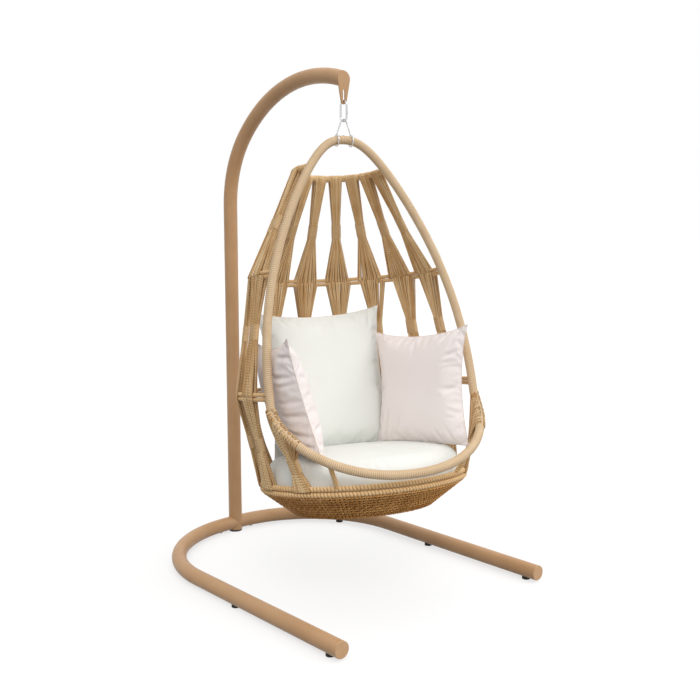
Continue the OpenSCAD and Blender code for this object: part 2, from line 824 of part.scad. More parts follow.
// Flat oval of points about a centre, long axis along a horizontal heading
function oval(centre, along, half_w, half_t) =
    let (u = unit([along[0], along[1], 0]))
    let (v = [u[1], -u[0], 0])
    [for (k = [0 : SHEAF_SIDES - 1])
        centre + half_w * cos(360 * k / SHEAF_SIDES) * u + half_t * sin(360 * k / SHEAF_SIDES) * v];

// Flat oval of points about a centre, long axis along a heading, thickness across a way down
function oval_across(centre, along, way, half_w, half_t) =
    let (u = unit(along), v = unit(cross(way, u)))
    [for (k = [0 : SHEAF_SIDES - 1])
        centre + half_w * cos(360 * k / SHEAF_SIDES) * u + half_t * sin(360 * k / SHEAF_SIDES) * v];

// Heading along an ellipse at angle t
function along_ellipse(shape, t) = [shape[0] * cos(t), -shape[1] * sin(t), 0];

// Sections of a sheaf: [share of its height, width], from its top to its foot
function sheaf_sections(top_w, waist_w, foot_w, waist_from, waist_to) =
    [[0, top_w], [waist_from, waist_w], [waist_to, waist_w], [1, foot_w]];

// Rings of points of one sheaf between two points, widened by extra all round
function sheaf_rings(top, foot, along, sections, extra = 0) =
    [for (s = sections)
        oval(top + (foot - top) * s[0], along, s[1] / 2 + extra, sheaf_t / 2 + extra)];

top_sections = sheaf_sections(top_sheaf_top_w, top_sheaf_waist_w, top_sheaf_foot_w, 0.44, 0.58);
middle_sections = sheaf_sections(
    middle_sheaf_top_w, middle_sheaf_waist_w, middle_sheaf_foot_w, 0.40, 0.54);
bottom_sections = sheaf_sections(
    bottom_sheaf_top_w, bottom_sheaf_waist_w, bottom_sheaf_foot_w, 0.44, 0.60);
front_sections = sheaf_sections(
    front_sheaf_top_w, front_sheaf_waist_w, front_sheaf_foot_w, 0.50, 0.72);

function sheaf_angles(step) =
    [for (i = [0 : sheaf_count - 1]) (i - (sheaf_count - 1) / 2) * step - sheaf_turn];

top_bar_under_z = -top_bar_z - top_bar_d / 2 - fit;
upper_ring_over_z = upper_ring_rod_z[0] + ring_d / 2 + fit;
upper_ring_under_z = upper_ring_rod_z[1] - ring_d / 2 - fit;
lower_ring_over_z = lower_ring_rod_z[0] + ring_d / 2 + fit;
lower_ring_under_z = lower_ring_rod_z[1] - ring_d / 2 - fit;
rim_over_z = rim_rod_z[0] + rim_d / 2 + fit;
rim_under_z = rim_rod_z[1] - rim_d / 2 - fit;

// One sheaf of a tier at angle t, as rings of points
function tier_rings(upper, upper_z, lower, lower_z, t, sections, extra = 0) =
    sheaf_rings(
        ellipse_point(upper, upper_z, t), ellipse_point(lower, lower_z, t),
        along_ellipse(lower, t), sections, extra);

// The waist part of a list of sections, kept just inside its ends
function waist(sections) = [[sections[1][0] + 0.005, sections[1][1]], [sections[2][0] - 0.005, sections[2][1]]];

module tier(upper, upper_z, lower, lower_z, step, sections) {
    color(straw)
        in_egg()
            for (t = sheaf_angles(step))
                loft(tier_rings(upper, upper_z, lower, lower_z, t, sections));
}

module tier_bands(upper, upper_z, lower, lower_z, step, sections) {
    color(cord_pale)
        in_egg()
            for (t = sheaf_angles(step))
                sleeve_loft(
                    tier_rings(upper, upper_z, lower, lower_z, t, waist(sections), fit + band_t),
                    tier_rings(upper, upper_z, lower, lower_z, t, waist(sections), fit));
}

module top_sheaves() {
    tier(top_bar_shape, top_bar_under_z, upper_ring_shape, upper_ring_over_z,
        top_sheaf_step, top_sections);
}

module middle_sheaves() {
    tier(upper_ring_shape, upper_ring_under_z, lower_ring_shape, lower_ring_over_z,
        sheaf_step, middle_sections);
}

module bottom_sheaves() {
    tier(lower_ring_shape, lower_ring_under_z, rim_shape, rim_over_z,
        sheaf_step, bottom_sections);
}

module top_bands() {
    tier_bands(top_bar_shape, top_bar_under_z, upper_ring_shape, upper_ring_over_z,
        top_sheaf_step, top_sections);
}

module middle_bands() {
    tier_bands(upper_ring_shape, upper_ring_under_z, lower_ring_shape, lower_ring_over_z,
        sheaf_step, middle_sections);
}

module bottom_bands() {
    tier_bands(lower_ring_shape, lower_ring_under_z, rim_shape, rim_over_z,
        sheaf_step, bottom_sections);
}

// Sheaf that fans from the hoop's lower corner, along its run, down to the rim
front_sheaf_hoop_angle = 105;
front_sheaf_reach = 14;
front_sheaf_rim_angle = 123;

function front_sheaf_rings(side, sections, extra = 0) =
    let (p = hoop_point(front_sheaf_hoop_angle - front_sheaf_reach, side))
    let (q = hoop_point(front_sheaf_hoop_angle + front_sheaf_reach, side))
    let (rim_point = ellipse_point(rim_shape, rim_rod_z[0], side * front_sheaf_rim_angle))
    let (rim_run = unit(along_ellipse(rim_shape, side * front_sheaf_rim_angle)))
    let (middle = (p + q) / 2, way = unit(rim_point - middle), run = unit(q - p))
    let (out = unit(way - (way * run) * run))
    let (bulge = ((hoop_point(front_sheaf_hoop_angle, side) - middle) * out) / (way * out))
    let (top = middle + way * (stand_off(way, run, hoop_r, 0) + fit + max(0, bulge)))
    let (foot = rim_point - way * stand_off(way, rim_run, rim_d / 2, 0), foot_along = side * rim_run)
    [for (s = sections)
        oval_across(
            top + (foot - top) * s[0], run + (foot_along - run) * min(1, s[0] / 0.4),
            way, s[1] / 2 + extra, sheaf_t / 2 + extra)];

module front_sheaf_left() {
    color(straw) in_egg() loft(front_sheaf_rings(-1, front_sections));
}

module front_sheaf_right() {
    color(straw) in_egg() loft(front_sheaf_rings(1, front_sections));
}

module front_bands() {
    color(cord_pale)
        in_egg()
            for (side = [-1, 1])
                sleeve_loft(
                    front_sheaf_rings(side, waist(front_sections), fit + band_t),
                    front_sheaf_rings(side, waist(front_sections), fit));
}

// ---------- lower basket ----------

BASKET_SIDES = 48;

// Closed loop of points of an ellipse drawn in by an amount
function ellipse_loop(shape, z, inset) =
    [for (i = [0 : BASKET_SIDES - 1])
        let (t = 360 * i / BASKET_SIDES)
        ellipse_point([shape[0] - inset, shape[1] - inset, shape[2]], z, t)];

module basket_wall() {
    color(weave_brown)
        in_egg()
            sleeve_loft(
                [ellipse_loop(rim_shape, rim_under_z, -weave_t / 2), ellipse_loop(floor_shape, -floor_z, 0)],
                [ellipse_loop(rim_shape, rim_under_z, weave_t / 2), ellipse_loop(floor_shape, -floor_z, weave_t)]);
}

module basket_floor() {
    inset = weave_t + fit;
    color(weave_brown)
        in_egg()
            translate([0, 0, -floor_z])
                linear_extrude(height = weave_t)
                    polygon([for (p = ellipse_loop(floor_shape, 0, inset)) [p[0], p[1]]]);
}

// ---------- cushions ----------

// Inner half width, half depth and centre of the basket's wall at a level below the rim
function basket_inner(z) =
    let (f = (rim_under_z - z) / (rim_under_z + floor_z), w = weave_t / 2 * (1 + f))
    [rim_a + (floor_a - rim_a) * f - w, rim_b + (floor_b - rim_b) * f - w, floor_shape[2] * f];

// Level of the seat cushion: its height, and its outline drawn in from the basket's wall
function seat_level(z, inset) =
    let (wall = basket_inner(min(z, rim_under_z)))
    [z, wall[0] - inset, wall[1] - inset, wall[2]];

seat_low_z = rim_under_z - seat_sink;
seat_top_z = rim_over_z + seat_crown;
rim_inset = rim_d / 2 - weave_t / 2 + soft_gap;
seat_levels = [
    seat_level(seat_top_z, 335),
    seat_level(seat_top_z - 5, 160),
    seat_level(seat_top_z - 16, 70),
    seat_level(seat_top_z - 38, 26),
    seat_level(seat_top_z - 68, rim_inset + 3),
    seat_level(rim_under_z, rim_inset),
    seat_level(seat_low_z + 3, rim_inset + 4),
    seat_level(seat_low_z, 60)
];

module seat_cushion() {
    color(ivory)
        in_egg()
            loft([for (l = seat_levels) ellipse_loop([l[1], l[2], l[3]], l[0], 0)]);
}

PILLOW_GRID = 12;
// Shares of the half width by which the middles of the covers' sides are drawn in
BACK_PULL = 0.09;
PILLOW_PULL = 0.12;
// Half thickness of a pillow's sewn edge
edge_t = 3;

// Point of a pillow's face at u, v from -1 to 1; side +1 or -1
function pillow_point(w, h, t, pull, u, v, side) = [
    w / 2 * u * (1 - pull * (1 - v * v)),
    side * (edge_t + (t / 2 - edge_t) * pow((1 - pow(abs(u), 2.6)) * (1 - pow(abs(v), 2.6)), 0.55)),
    h / 2 * v * (1 - pull * (1 - u * u))
];

// Pillow with full middle, drawn-in sides and pointed corners, in the plane Y = 0
module pillow(w, h, t, pull) {
    n = PILLOW_GRID;
    steps = [for (i = [0 : n]) sin(90 * (2 * i / n - 1))];
    face = (n + 1) * (n + 1);
    points = [for (side = [-1, 1], i = [0 : n], j = [0 : n])
        pillow_point(w, h, t, pull, steps[i], steps[j], side)];
    function at(side, i, j) = side * face + i * (n + 1) + j;
    skins = [for (side = [0, 1], i = [0 : n - 1], j = [0 : n - 1], half = [0, 1])
        let (a = at(side, i, j), b = at(side, i + 1, j), c = at(side, i + 1, j + 1), d = at(side, i, j + 1))
        side == 0 ? (half == 0 ? [a, c, b] : [a, d, c]) : (half == 0 ? [a, b, c] : [a, c, d])];
    edges = [for (k = [0 : n - 1], half = [0, 1], e = [0 : 3])
        let (p = e == 0 ? [k, 0] : e == 1 ? [n, k] : e == 2 ? [n - k, n] : [0, n - k])
        let (q = e == 0 ? [k + 1, 0] : e == 1 ? [n, k + 1] : e == 2 ? [n - k - 1, n] : [0, n - k - 1])
        let (a = at(0, p[0], p[1]), b = at(0, q[0], q[1]), c = at(1, q[0], q[1]), d = at(1, p[0], p[1]))
        half == 0 ? [a, b, c] : [a, c, d]];
    polyhedron(points, concat(skins, edges), convexity = 6);
}

// Back cushion: stands on the seat and leans on the back sheaves
module back_cushion() {
    color(ivory)
        in_egg()
            translate([back_x, back_y, seat_top_z + back_h / 2 - back_sink])
                rotate([-6, -1.5, 0])
                    pillow(back_w, back_h, back_t, BACK_PULL);
}

// Side pillows: stand on the seat by the side sheaves, their tops leaning out
module left_pillow() {
    color(blush)
        in_egg()
            translate([left_x, left_y, seat_top_z + pillow_size / 2 - left_sink])
                rotate([0, 0, 83])
                    rotate([-13.5, 0, 0])
                        pillow(pillow_size, pillow_size, pillow_t, PILLOW_PULL);
}

module right_pillow() {
    color(blush)
        in_egg()
            translate([right_x, right_y, seat_top_z + pillow_size / 2 - right_sink])
                rotate([0, 0, -68])
                    rotate([-4, 0, 0])
                        pillow(pillow_size, pillow_size, pillow_t, PILLOW_PULL);
}

base_tube_left();
base_tube_right();
mast();
base_sleeves();
base_bolts();
leg_end_caps();
rubber_feet();
mast_foot();
eye_plate();
carabiner();
carabiner_gate();
gate_pin();
bail();
hoop_screw();
front_hoop();
top_bar();
upper_ring_top_rod();
upper_ring_bottom_rod();
lower_ring_top_rod();
lower_ring_bottom_rod();
rim_top_rod();
rim_bottom_rod();
front_strut_left();
front_strut_right();
top_sheaves();
middle_sheaves();
bottom_sheaves();
front_sheaf_left();
front_sheaf_right();
top_bands();
middle_bands();
bottom_bands();
front_bands();
basket_wall();
basket_floor();
seat_cushion();
back_cushion();
left_pillow();
right_pillow();
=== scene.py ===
"""Hanging egg chair: wound rods, corded sheaves, a twined basket, padded cushions, finishes and studio.

Lengths are metres in the row frame: origin on the floor under the stand, +Z up, the stand's front towards -Y.
The egg has a frame of its own, its origin at the crown of the front hoop. Egg.place puts it on the stand.
"""
import logging
import math
from collections.abc import Callable
from dataclasses import dataclass, field
from enum import Enum
from functools import partial

import bpy
import numpy as np
from mathutils import Matrix


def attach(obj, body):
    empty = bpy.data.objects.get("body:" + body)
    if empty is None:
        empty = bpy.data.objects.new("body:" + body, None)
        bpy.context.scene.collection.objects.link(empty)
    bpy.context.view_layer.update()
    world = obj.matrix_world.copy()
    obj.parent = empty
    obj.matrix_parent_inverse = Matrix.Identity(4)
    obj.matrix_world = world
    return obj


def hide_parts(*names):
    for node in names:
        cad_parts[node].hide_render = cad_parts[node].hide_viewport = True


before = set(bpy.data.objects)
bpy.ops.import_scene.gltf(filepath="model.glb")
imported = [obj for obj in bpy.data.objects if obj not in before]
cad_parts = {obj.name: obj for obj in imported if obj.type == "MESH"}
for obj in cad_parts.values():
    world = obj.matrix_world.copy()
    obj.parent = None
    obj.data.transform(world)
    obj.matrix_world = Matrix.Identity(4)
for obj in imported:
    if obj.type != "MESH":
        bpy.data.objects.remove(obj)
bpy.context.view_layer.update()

LOG = logging.getLogger("egg_chair")
MM = 0.001
Array = np.ndarray
Colour = tuple[float, float, float]
Material = bpy.types.Material
Object = bpy.types.Object
Socket = bpy.types.NodeSocket
Value = Socket | float | tuple
Inputs = dict[str | int, Value]
Generator = np.random.Generator

UP = np.array([0.0, 0.0, 1.0])
BACK = np.array([0.0, 1.0, 0.0])
SIDES = (("left", -1.0), ("right", 1.0))
NOISE = (0.3, 0.7)  # the range that most noise lies in
PLAIN_TONE = 0.5  # tone of a piece whose cords aren't told apart
TONE_SHIFT = 0.37  # metres that a tone of 1 shifts a cord's lay
FEWEST_TURNS = 4


class Row(Enum):
    """The two layers of cords in a sheaf, which pass on either side of the rods."""

    OUTER = 1.0
    INNER = -1.0


class Slot(Enum):
    """Material slots of the record, named for new pieces; no finish is taken from them."""

    STEEL = "bright_steel"
    WRAP = "pale_wrap"
    STRAW = "straw_cord"
    BAND = "band_cord"
    BASKET = "brown_weave"
    CLOTH = "ivory_cloth"


# ---------- small helpers ----------


def unit(v: Array) -> Array:
    """Vectors of length 1 with the directions of v: each is v over its own length."""
    return v / np.linalg.norm(v, axis=-1, keepdims=True)


def dot(a: Array, b: Array) -> Array:
    """Row by row products of two arrays of vectors, kept as columns."""
    return np.sum(a * b, axis=-1, keepdims=True)


def turned(points: Array, axis: str, degrees: float) -> Array:
    """Points turned about the axis "X", "Y" or "Z" by the right-hand rule: the rotation matrix times each."""
    return points @ np.array(Matrix.Rotation(math.radians(degrees), 3, axis)).T


def circle(count: int) -> Array:
    """Evenly spaced angles of a whole turn: 2 pi k / count."""
    return 2 * np.pi * np.arange(count) / count


def coil(turns: Array) -> Array:
    """Crest of a wound cord after x turns, 0 between two turns: the size of sin(pi x) to the power 0.7."""
    return np.abs(np.sin(np.pi * turns)) ** 0.7


def read_points(mesh: bpy.types.Mesh) -> Array:
    """The mesh's points as an array of (points, 3)."""
    points = np.empty(len(mesh.vertices) * 3, dtype=np.float32)
    mesh.vertices.foreach_get("co", points)
    return points.reshape(-1, 3).astype(float)


# ---------- skins: points and faces worked out as whole arrays ----------


@dataclass
class Skin:
    """Points, faces, a map in metres and named values of a surface."""

    points: Array
    faces: list[Array]
    uv: Array
    values: dict[str, Array] = field(default_factory=dict)

    def object(self, name: str) -> Object:
        """Makes a mesh object of the skin, smooth shaded and linked to the scene.

        Args:
            name: the object's name.

        Returns:
            The new object, with its place in its mesh.
        """
        mesh = bpy.data.meshes.new(name)
        loops = np.concatenate([f.ravel() for f in self.faces]).astype(np.int32)
        sizes = np.concatenate([np.full(len(f), f.shape[1]) for f in self.faces])
        starts = np.concatenate([[0], np.cumsum(sizes)[:-1]]).astype(np.int32)
        mesh.vertices.add(len(self.points))
        mesh.loops.add(len(loops))
        mesh.polygons.add(len(sizes))
        mesh.vertices.foreach_set("co", self.points.astype(np.float32).ravel())
        mesh.polygons.foreach_set("loop_start", starts)
        mesh.loops.foreach_set("vertex_index", loops)
        mesh.update(calc_edges=True)
        mesh.validate()
        mesh.uv_layers.new(name="lay").data.foreach_set("uv", self.uv.astype(np.float32).ravel())
        for key, value in self.values.items():
            layer = mesh.attributes.new(key, "FLOAT", "POINT")
            layer.data.foreach_set("value", value.astype(np.float32).ravel())
        mesh.polygons.foreach_set("use_smooth", np.ones(len(sizes), dtype=bool))
        piece = bpy.data.objects.new(name, mesh)
        bpy.context.scene.collection.objects.link(piece)
        return piece


def joined(skins: list[Skin]) -> Skin:
    """One skin of several: points are stacked and each skin's faces count on from the last one's.

    Args:
        skins: the skins, which all have the same named values.

    Returns:
        The joined skin.
    """
    offsets = np.cumsum([0] + [len(s.points) for s in skins[:-1]])
    faces = [f + o for s, o in zip(skins, offsets) for f in s.faces]
    values = {k: np.concatenate([s.values[k].ravel() for s in skins]) for k in skins[0].values}
    points, uv = (np.concatenate([getattr(s, part) for s in skins]) for part in ("points", "uv"))
    return Skin(points, faces, uv, values)


def grid_corners(rows: int, cols: int, closed_rows: bool = False) -> tuple[Array, Array]:
    """Row and column numbers of the corners of a grid's quads, whose columns close on themselves.

    Args:
        rows: number of rows of points.
        cols: number of points in a row.
        closed_rows: whether the last row joins the first.

    Returns:
        Two arrays of (quads, 4): row numbers and column numbers, not yet wrapped round.
    """
    r, c = np.meshgrid(np.arange(rows if closed_rows else rows - 1), np.arange(cols), indexing="ij")
    r, c = r.ravel(), c.ravel()
    return np.stack([r, r, r + 1, r + 1], -1), np.stack([c, c + 1, c + 1, c], -1)


def directions(paths: Array, guide: Array, closed: bool = False) -> tuple[Array, Array]:
    """Directions across paths.

    The travel is the difference of the next and the last point. The first direction is the guide less its
    share along the travel, and the second is travel cross first.

    Args:
        paths: (paths, points, 3).
        guide: a vector or an array of vectors that the first direction leans to.
        closed: whether each path closes on itself.

    Returns:
        First and second direction across, each (paths, points, 3).
    """
    if closed:
        travel = unit(np.roll(paths, -1, axis=1) - np.roll(paths, 1, axis=1))
    else:
        travel = unit(np.gradient(paths, axis=1))
    first = unit(guide - dot(np.broadcast_to(guide, paths.shape), travel) * travel)
    return first, np.cross(travel, first)


def lengths_along(paths: Array, closed: bool = False) -> Array:
    """Distance from the start of each path to each point, and to the start again where it is closed.

    Args:
        paths: (paths, points, 3).
        closed: whether each path closes on itself.

    Returns:
        (paths, points), or one more column where the paths are closed.
    """
    ends = np.concatenate([paths, paths[:, :1]], axis=1) if closed else paths
    steps = np.linalg.norm(np.diff(ends, axis=1), axis=2)
    return np.concatenate([np.zeros((len(paths), 1)), np.cumsum(steps, axis=1)], axis=1)


def swept(
    paths: Array, radii: Array | float, sides: int, guide: Array, closed: bool = False,
    tone: Array | None = None, crest: Array | None = None,
) -> Skin:
    """Round tubes carried along paths.

    Point k of a ring stands at the path's point plus the radius times (cos of its angle times the first
    direction plus sin of its angle times the second). Open tubes get a flat face on each end.

    Args:
        paths: (paths, points, 3).
        radii: a radius, or an array that fits (paths, points, sides).
        sides: points in a ring.
        guide: direction that point 0 of each ring leans to.
        closed: whether each path closes on itself.
        tone: one value from 0 to 1 for each path, which varies its colour and shifts its lay.
        crest: an array that fits (paths, points, sides), 1 on raised turns and 0 in the grooves; the finish
            paints shade where it is low.

    Returns:
        The tubes' skin, its map giving metres along and round them.
    """
    count, stations, _ = paths.shape
    first, second = directions(paths, guide, closed)
    angle = circle(sides)
    ring = np.cos(angle)[:, None] * first[:, :, None] + np.sin(angle)[:, None] * second[:, :, None]
    size = np.broadcast_to(radii, (count, stations, sides))
    points = paths[:, :, None] + size[..., None] * ring
    rows, cols = grid_corners(stations, sides, closed)
    quads = (rows % stations) * sides + cols % sides
    first_point = np.arange(count)[:, None, None] * stations * sides
    faces = [(quads + first_point).reshape(-1, 4)]
    along = lengths_along(paths, closed)[:, rows]
    mean_size = size.mean(axis=(1, 2))[:, None, None]
    around = np.broadcast_to(cols / sides * 2 * np.pi, along.shape) * mean_size
    if tone is not None:
        along = along + TONE_SHIFT * tone[:, None, None]
    uv = np.stack([along, around], -1).reshape(-1, 2)
    if not closed:
        start = np.arange(sides)[::-1] + first_point[:, 0]
        end = np.arange(sides) + (stations - 1) * sides + first_point[:, 0]
        faces += [start, end]
        uv = np.concatenate([uv, np.zeros((start.size + end.size, 2))])
    tones = np.broadcast_to((np.full(count, PLAIN_TONE) if tone is None else tone)[:, None, None], size.shape)
    crests = np.broadcast_to(1.0 if crest is None else crest, size.shape)
    return Skin(points.reshape(-1, 3), faces, uv, {"tone": tones.ravel(), "crest": crests.ravel()})


def evenly(path: Array, count: int, closed: bool = False) -> Array:
    """Points at equal distances along a path.

    Args:
        path: (points, 3), dense enough to count as the curve.
        count: number of points wanted.
        closed: whether the path closes on itself.

    Returns:
        (count, 3), each found between its two neighbours by its share of the length.
    """
    ends = np.concatenate([path, path[:1]]) if closed else path
    at = lengths_along(path[None], closed)[0]
    wanted = np.linspace(0, at[-1], count, endpoint=not closed)
    return np.stack([np.interp(wanted, at, ends[:, i]) for i in range(3)], -1)


@dataclass(frozen=True)
class Wrap:
    """Cord wound tightly round a rod: outer radius, distance between turns, depth of the grooves, facets."""

    radius: float
    pitch: float = 8.8 * MM
    groove: float = 2.1 * MM
    sides: int = 12
    steps: int = 6

    def skin(self, path: Array, guide: Array, closed: bool = False) -> Skin:
        """The wound rod along a path.

        The crest is that of a coil after the turns passed so far less the share of the way round, and the
        radius is the outer one less the groove's depth times (1 - crest). The finish paints shade in the
        grooves from the crest.

        Args:
            path: (points, 3), the rod's axis.
            guide: direction that each ring's first point leans to.
            closed: whether the rod closes on itself.

        Returns:
            The skin.
        """
        length = lengths_along(path[None], closed)[0, -1]
        turns = max(FEWEST_TURNS, round(length / self.pitch))
        axis = evenly(path, turns * self.steps + (0 if closed else 1), closed)
        # crest: 1 on the turns and 0 in the grooves; it cuts the grooves and paints their shade
        crest = coil(np.arange(len(axis))[:, None] / self.steps - np.arange(self.sides) / self.sides)
        radii = self.radius - self.groove * (1 - crest)
        return swept(axis[None], radii[None], self.sides, guide, closed, crest=crest[None])


# ---------- the egg's shape ----------


@dataclass(frozen=True)
class Ellipse:
    """A level ellipse of the egg, or a stack of them: half width, half depth, centre behind the crown."""

    a: float | Array
    b: float | Array
    centre: float | Array

    def point(self, t: Array, z: Array | float) -> Array:
        """Points at t degrees from the middle of the back: (a sin t, centre + b cos t, z)."""
        r = np.radians(t)
        return np.stack(np.broadcast_arrays(self.a * np.sin(r), self.centre + self.b * np.cos(r), z), -1)

    def speed(self, t: float | Array) -> Array:
        """Metres along the ellipse for each degree at t."""
        r = np.radians(t)
        return np.hypot(self.a * np.cos(r), self.b * np.sin(r)) * np.pi / 180

    def outward(self, t: Array) -> Array:
        """Level unit vectors away from the egg: the travel (a cos t, -b sin t) turned a quarter turn."""
        r = np.radians(t)
        return unit(np.stack([self.b * np.sin(r), self.a * np.cos(r), np.zeros_like(r)], -1))


@dataclass(frozen=True)
class Ring:
    """A ring of rods through the hoop: distance below the crown, half width, its back's place, radius."""

    level: float
    half_width: float
    back: float
    radius: float


@dataclass(frozen=True)
class Rod:
    """A rod that follows an ellipse: its shape, level and radius, and the angle at which it stops."""

    shape: Ellipse
    z: float
    radius: float
    stop: float = 180.0

    @property
    def closed(self) -> bool:
        """Whether the rod goes all the way round."""
        return self.stop >= 180

    def path(self) -> Array:
        """The rod's axis: the ellipse between minus and plus the stop angle, or all round it at 180."""
        if self.closed:
            return self.shape.point(np.linspace(0, 360, 721)[:-1], self.z)
        return self.shape.point(np.linspace(-self.stop, self.stop, 361), self.z)

    def at(self, t: float) -> Array:
        """The point of the axis at an angle."""
        return self.shape.point(np.array([t]), self.z)[0]

    def out(self, t: float) -> Array:
        """The unit vector away from the egg at an angle."""
        return self.shape.outward(np.array([t]))[0]


@dataclass(frozen=True)
class Egg:
    """The egg's own sizes, and its place on the stand."""

    hang: tuple[float, float, float] = (0.0, -0.108, 1.72263)
    yaw: float = -16.0
    pitch: float = -8.15
    hoop_radius: float = 16.5 * MM
    half_width: float = 418 * MM
    upper_height: float = 988 * MM
    lower_height: float = 250 * MM
    upper_fullness: float = 2.28
    lower_fullness: float = 2.13
    pinch: float = 89 * MM
    lean: float = 0.139
    bow: float = 11 * MM
    kick: float = 217 * MM
    softness: float = 0.15
    fit: float = 0.3 * MM
    bar: Ring = Ring(108.5 * MM, 174.5 * MM, 219 * MM, 9 * MM)
    upper: Ring = Ring(510 * MM, 370 * MM, 405 * MM, 8 * MM)
    lower: Ring = Ring(948 * MM, 445 * MM, 491 * MM, 8 * MM)
    rim: Ellipse = Ellipse(393 * MM, 340 * MM, 0.0)
    rim_radius: float = 10 * MM
    rim_level: float = 1286 * MM
    floor: Ellipse = Ellipse(272 * MM, 228 * MM, 20 * MM)
    floor_level: float = 1405 * MM
    half_weave: float = 3 * MM

    def place(self, points: Array) -> Array:
        """Points of the egg's frame in the row frame: pitched about X, turned about Z, moved to the crown."""
        return turned(turned(points, "X", self.pitch), "Z", self.yaw) + np.array(self.hang)

    def hoop(self, t: Array, side: float) -> Array:
        """Points of the front hoop.

        The hoop is half a superellipse above its widest level and half of another below it. Its shoulders are
        drawn in by pinch sin(2t) cos(t), it leans forward by lean times its level and bows by bow sin(t), and
        its lip kicks forward by kick times a rise that starts level and straightens.

        Args:
            t: degrees from the crown, 180 at the lip.
            side: +1 or -1.

        Returns:
            (points, 3) in the egg's frame.
        """
        c, s = np.cos(np.radians(t)), np.abs(np.sin(np.radians(t)))
        up = c >= 0
        level = np.where(
            up, -self.upper_height * (1 - np.abs(c) ** (2 / self.upper_fullness)),
            -self.upper_height - self.lower_height * np.abs(c) ** (2 / self.lower_fullness))
        fullness = np.where(up, self.upper_fullness, self.lower_fullness)
        drawn_in = np.where(up, self.pinch * np.sin(np.radians(2 * t)) * c, 0)
        width = self.half_width * s ** (2 / fullness) - drawn_in
        e = self.softness
        rise = (np.sqrt(c * c + e * e) - e) / (math.sqrt(1 + e * e) - e)
        y = self.lean * level - self.bow * np.where(up, s * s, s) - np.where(up, 0, self.kick * rise)
        return np.stack([side * width, y, level], -1)

    def hoop_at(self, t: float, side: float) -> Array:
        """One point of the hoop."""
        return self.hoop(np.array([t]), side)[0]

    def hoop_path(self) -> Array:
        """The whole hoop as a closed path, down its right side and up its left."""
        t = np.linspace(0, 180, 721)
        return np.concatenate([self.hoop(t, 1.0), self.hoop(t[1:-1][::-1], -1.0)])

    def ring(self, ring: Ring, offset: float) -> Rod:
        """A rod whose ellipse runs through the hoop.

        Args:
            ring: the ring it belongs to.
            offset: how far this rod stands above the ring's middle.

        Returns:
            The rod, which stops where it meets the hoop.
        """
        t = math.degrees(math.acos((1 - ring.level / self.upper_height) ** (self.upper_fullness / 2)))
        p = self.hoop_at(t, 1.0)
        k = math.sqrt(1 - (p[0] / ring.half_width) ** 2)
        centre = (p[1] + k * ring.back) / (1 + k)
        shape = Ellipse(ring.half_width, ring.back - centre, centre)
        stop = 180 - math.degrees(math.asin(p[0] / ring.half_width))
        stop -= float((self.hoop_radius + self.fit) / shape.speed(np.array([stop]))[0])
        return Rod(shape, -ring.level + offset, ring.radius, stop)

    def rods(self) -> dict[str, Rod]:
        """All rods by the names of their CAD nodes; the two rods of a pair lie one above the other."""
        pair = (("top", 1.0), ("bottom", -1.0))
        rods = {"top_bar": self.ring(self.bar, 0.0)}
        for name, ring in (("upper_ring", self.upper), ("lower_ring", self.lower)):
            for end, sign in pair:
                rods[f"{name}_{end}_rod"] = self.ring(ring, sign * (ring.radius + self.fit / 2))
        for end, sign in pair:
            level = -self.rim_level + sign * (self.rim_radius + self.fit / 2)
            rods[f"rim_{end}_rod"] = Rod(self.rim, level, self.rim_radius)
        return rods


EGG = Egg()
RODS = EGG.rods()
RIM = RODS["rim_top_rod"]


# ---------- finishes ----------


class Sketch:
    """A node tree while it is drawn."""

    def __init__(self, tree: bpy.types.NodeTree) -> None:
        """Starts on the tree, emptied."""
        self.tree = tree
        tree.nodes.clear()

    def put(self, value: Value, target: Socket) -> None:
        """Links a node's output to an input, or sets the input to a plain value or an opaque colour.

        Args:
            value: the output or the value.
            target: the input.
        """
        if isinstance(value, bpy.types.NodeSocket):
            self.tree.links.new(value, target)
        else:
            target.default_value = (*value, 1.0) if target.type == "RGBA" else value

    def add(self, kind: str, inputs: Inputs | None = None, **settings: object) -> bpy.types.Node:
        """Adds a node.

        Args:
            kind: the node's type name.
            inputs: values or sources for its sockets by name or number.
            settings: attributes of the node itself.

        Returns:
            The node.
        """
        node = self.tree.nodes.new(kind)
        for key, value in settings.items():
            setattr(node, key, value)
        for key, value in (inputs or {}).items():
            self.put(value, node.inputs[key])
        return node

    def object_place(self, scale: tuple[float, float, float] = (1.0, 1.0, 1.0)) -> Socket:
        """Object coordinates, stretched by a scale."""
        place = self.add("ShaderNodeTexCoord").outputs["Object"]
        return self.add("ShaderNodeMapping", {"Vector": place, "Scale": scale}).outputs["Vector"]

    def noise(self, vector: Socket, scale: float, detail: float = 2.0) -> Socket:
        """Noise of a scale, read at a vector."""
        inputs = {"Vector": vector, "Scale": scale, "Detail": detail}
        return self.add("ShaderNodeTexNoise", inputs).outputs["Fac"]

    def math(self, operation: str, a: Value, b: Value, clamp: bool = False) -> Socket:
        """Two values taken together by an operation, kept between 0 and 1 where clamp is set."""
        return self.add("ShaderNodeMath", {0: a, 1: b}, operation=operation, use_clamp=clamp).outputs[0]

    def ramp(self, value: Socket, low: float, high: float, to: tuple[float, float]) -> Socket:
        """A value mapped from low..high to a pair of limits, held inside them."""
        inputs = {"Value": value, "From Min": low, "From Max": high, "To Min": to[0], "To Max": to[1]}
        return self.add("ShaderNodeMapRange", inputs).outputs["Result"]

    def mixed(self, share: Socket, a: Value, b: Value) -> Socket:
        """A colour between a, where the share is 0, and b, where it is 1."""
        return self.add("ShaderNodeMix", {"Factor": share, 6: a, 7: b}, data_type="RGBA").outputs[2]

    def bumped(self, height: Socket, distance: float, strength: float, under: Socket | None = None) -> Socket:
        """A normal that rises with a height, on top of another normal where one is given."""
        inputs = {"Height": height, "Distance": distance, "Strength": strength}
        return self.add("ShaderNodeBump", inputs | ({"Normal": under} if under else {})).outputs["Normal"]


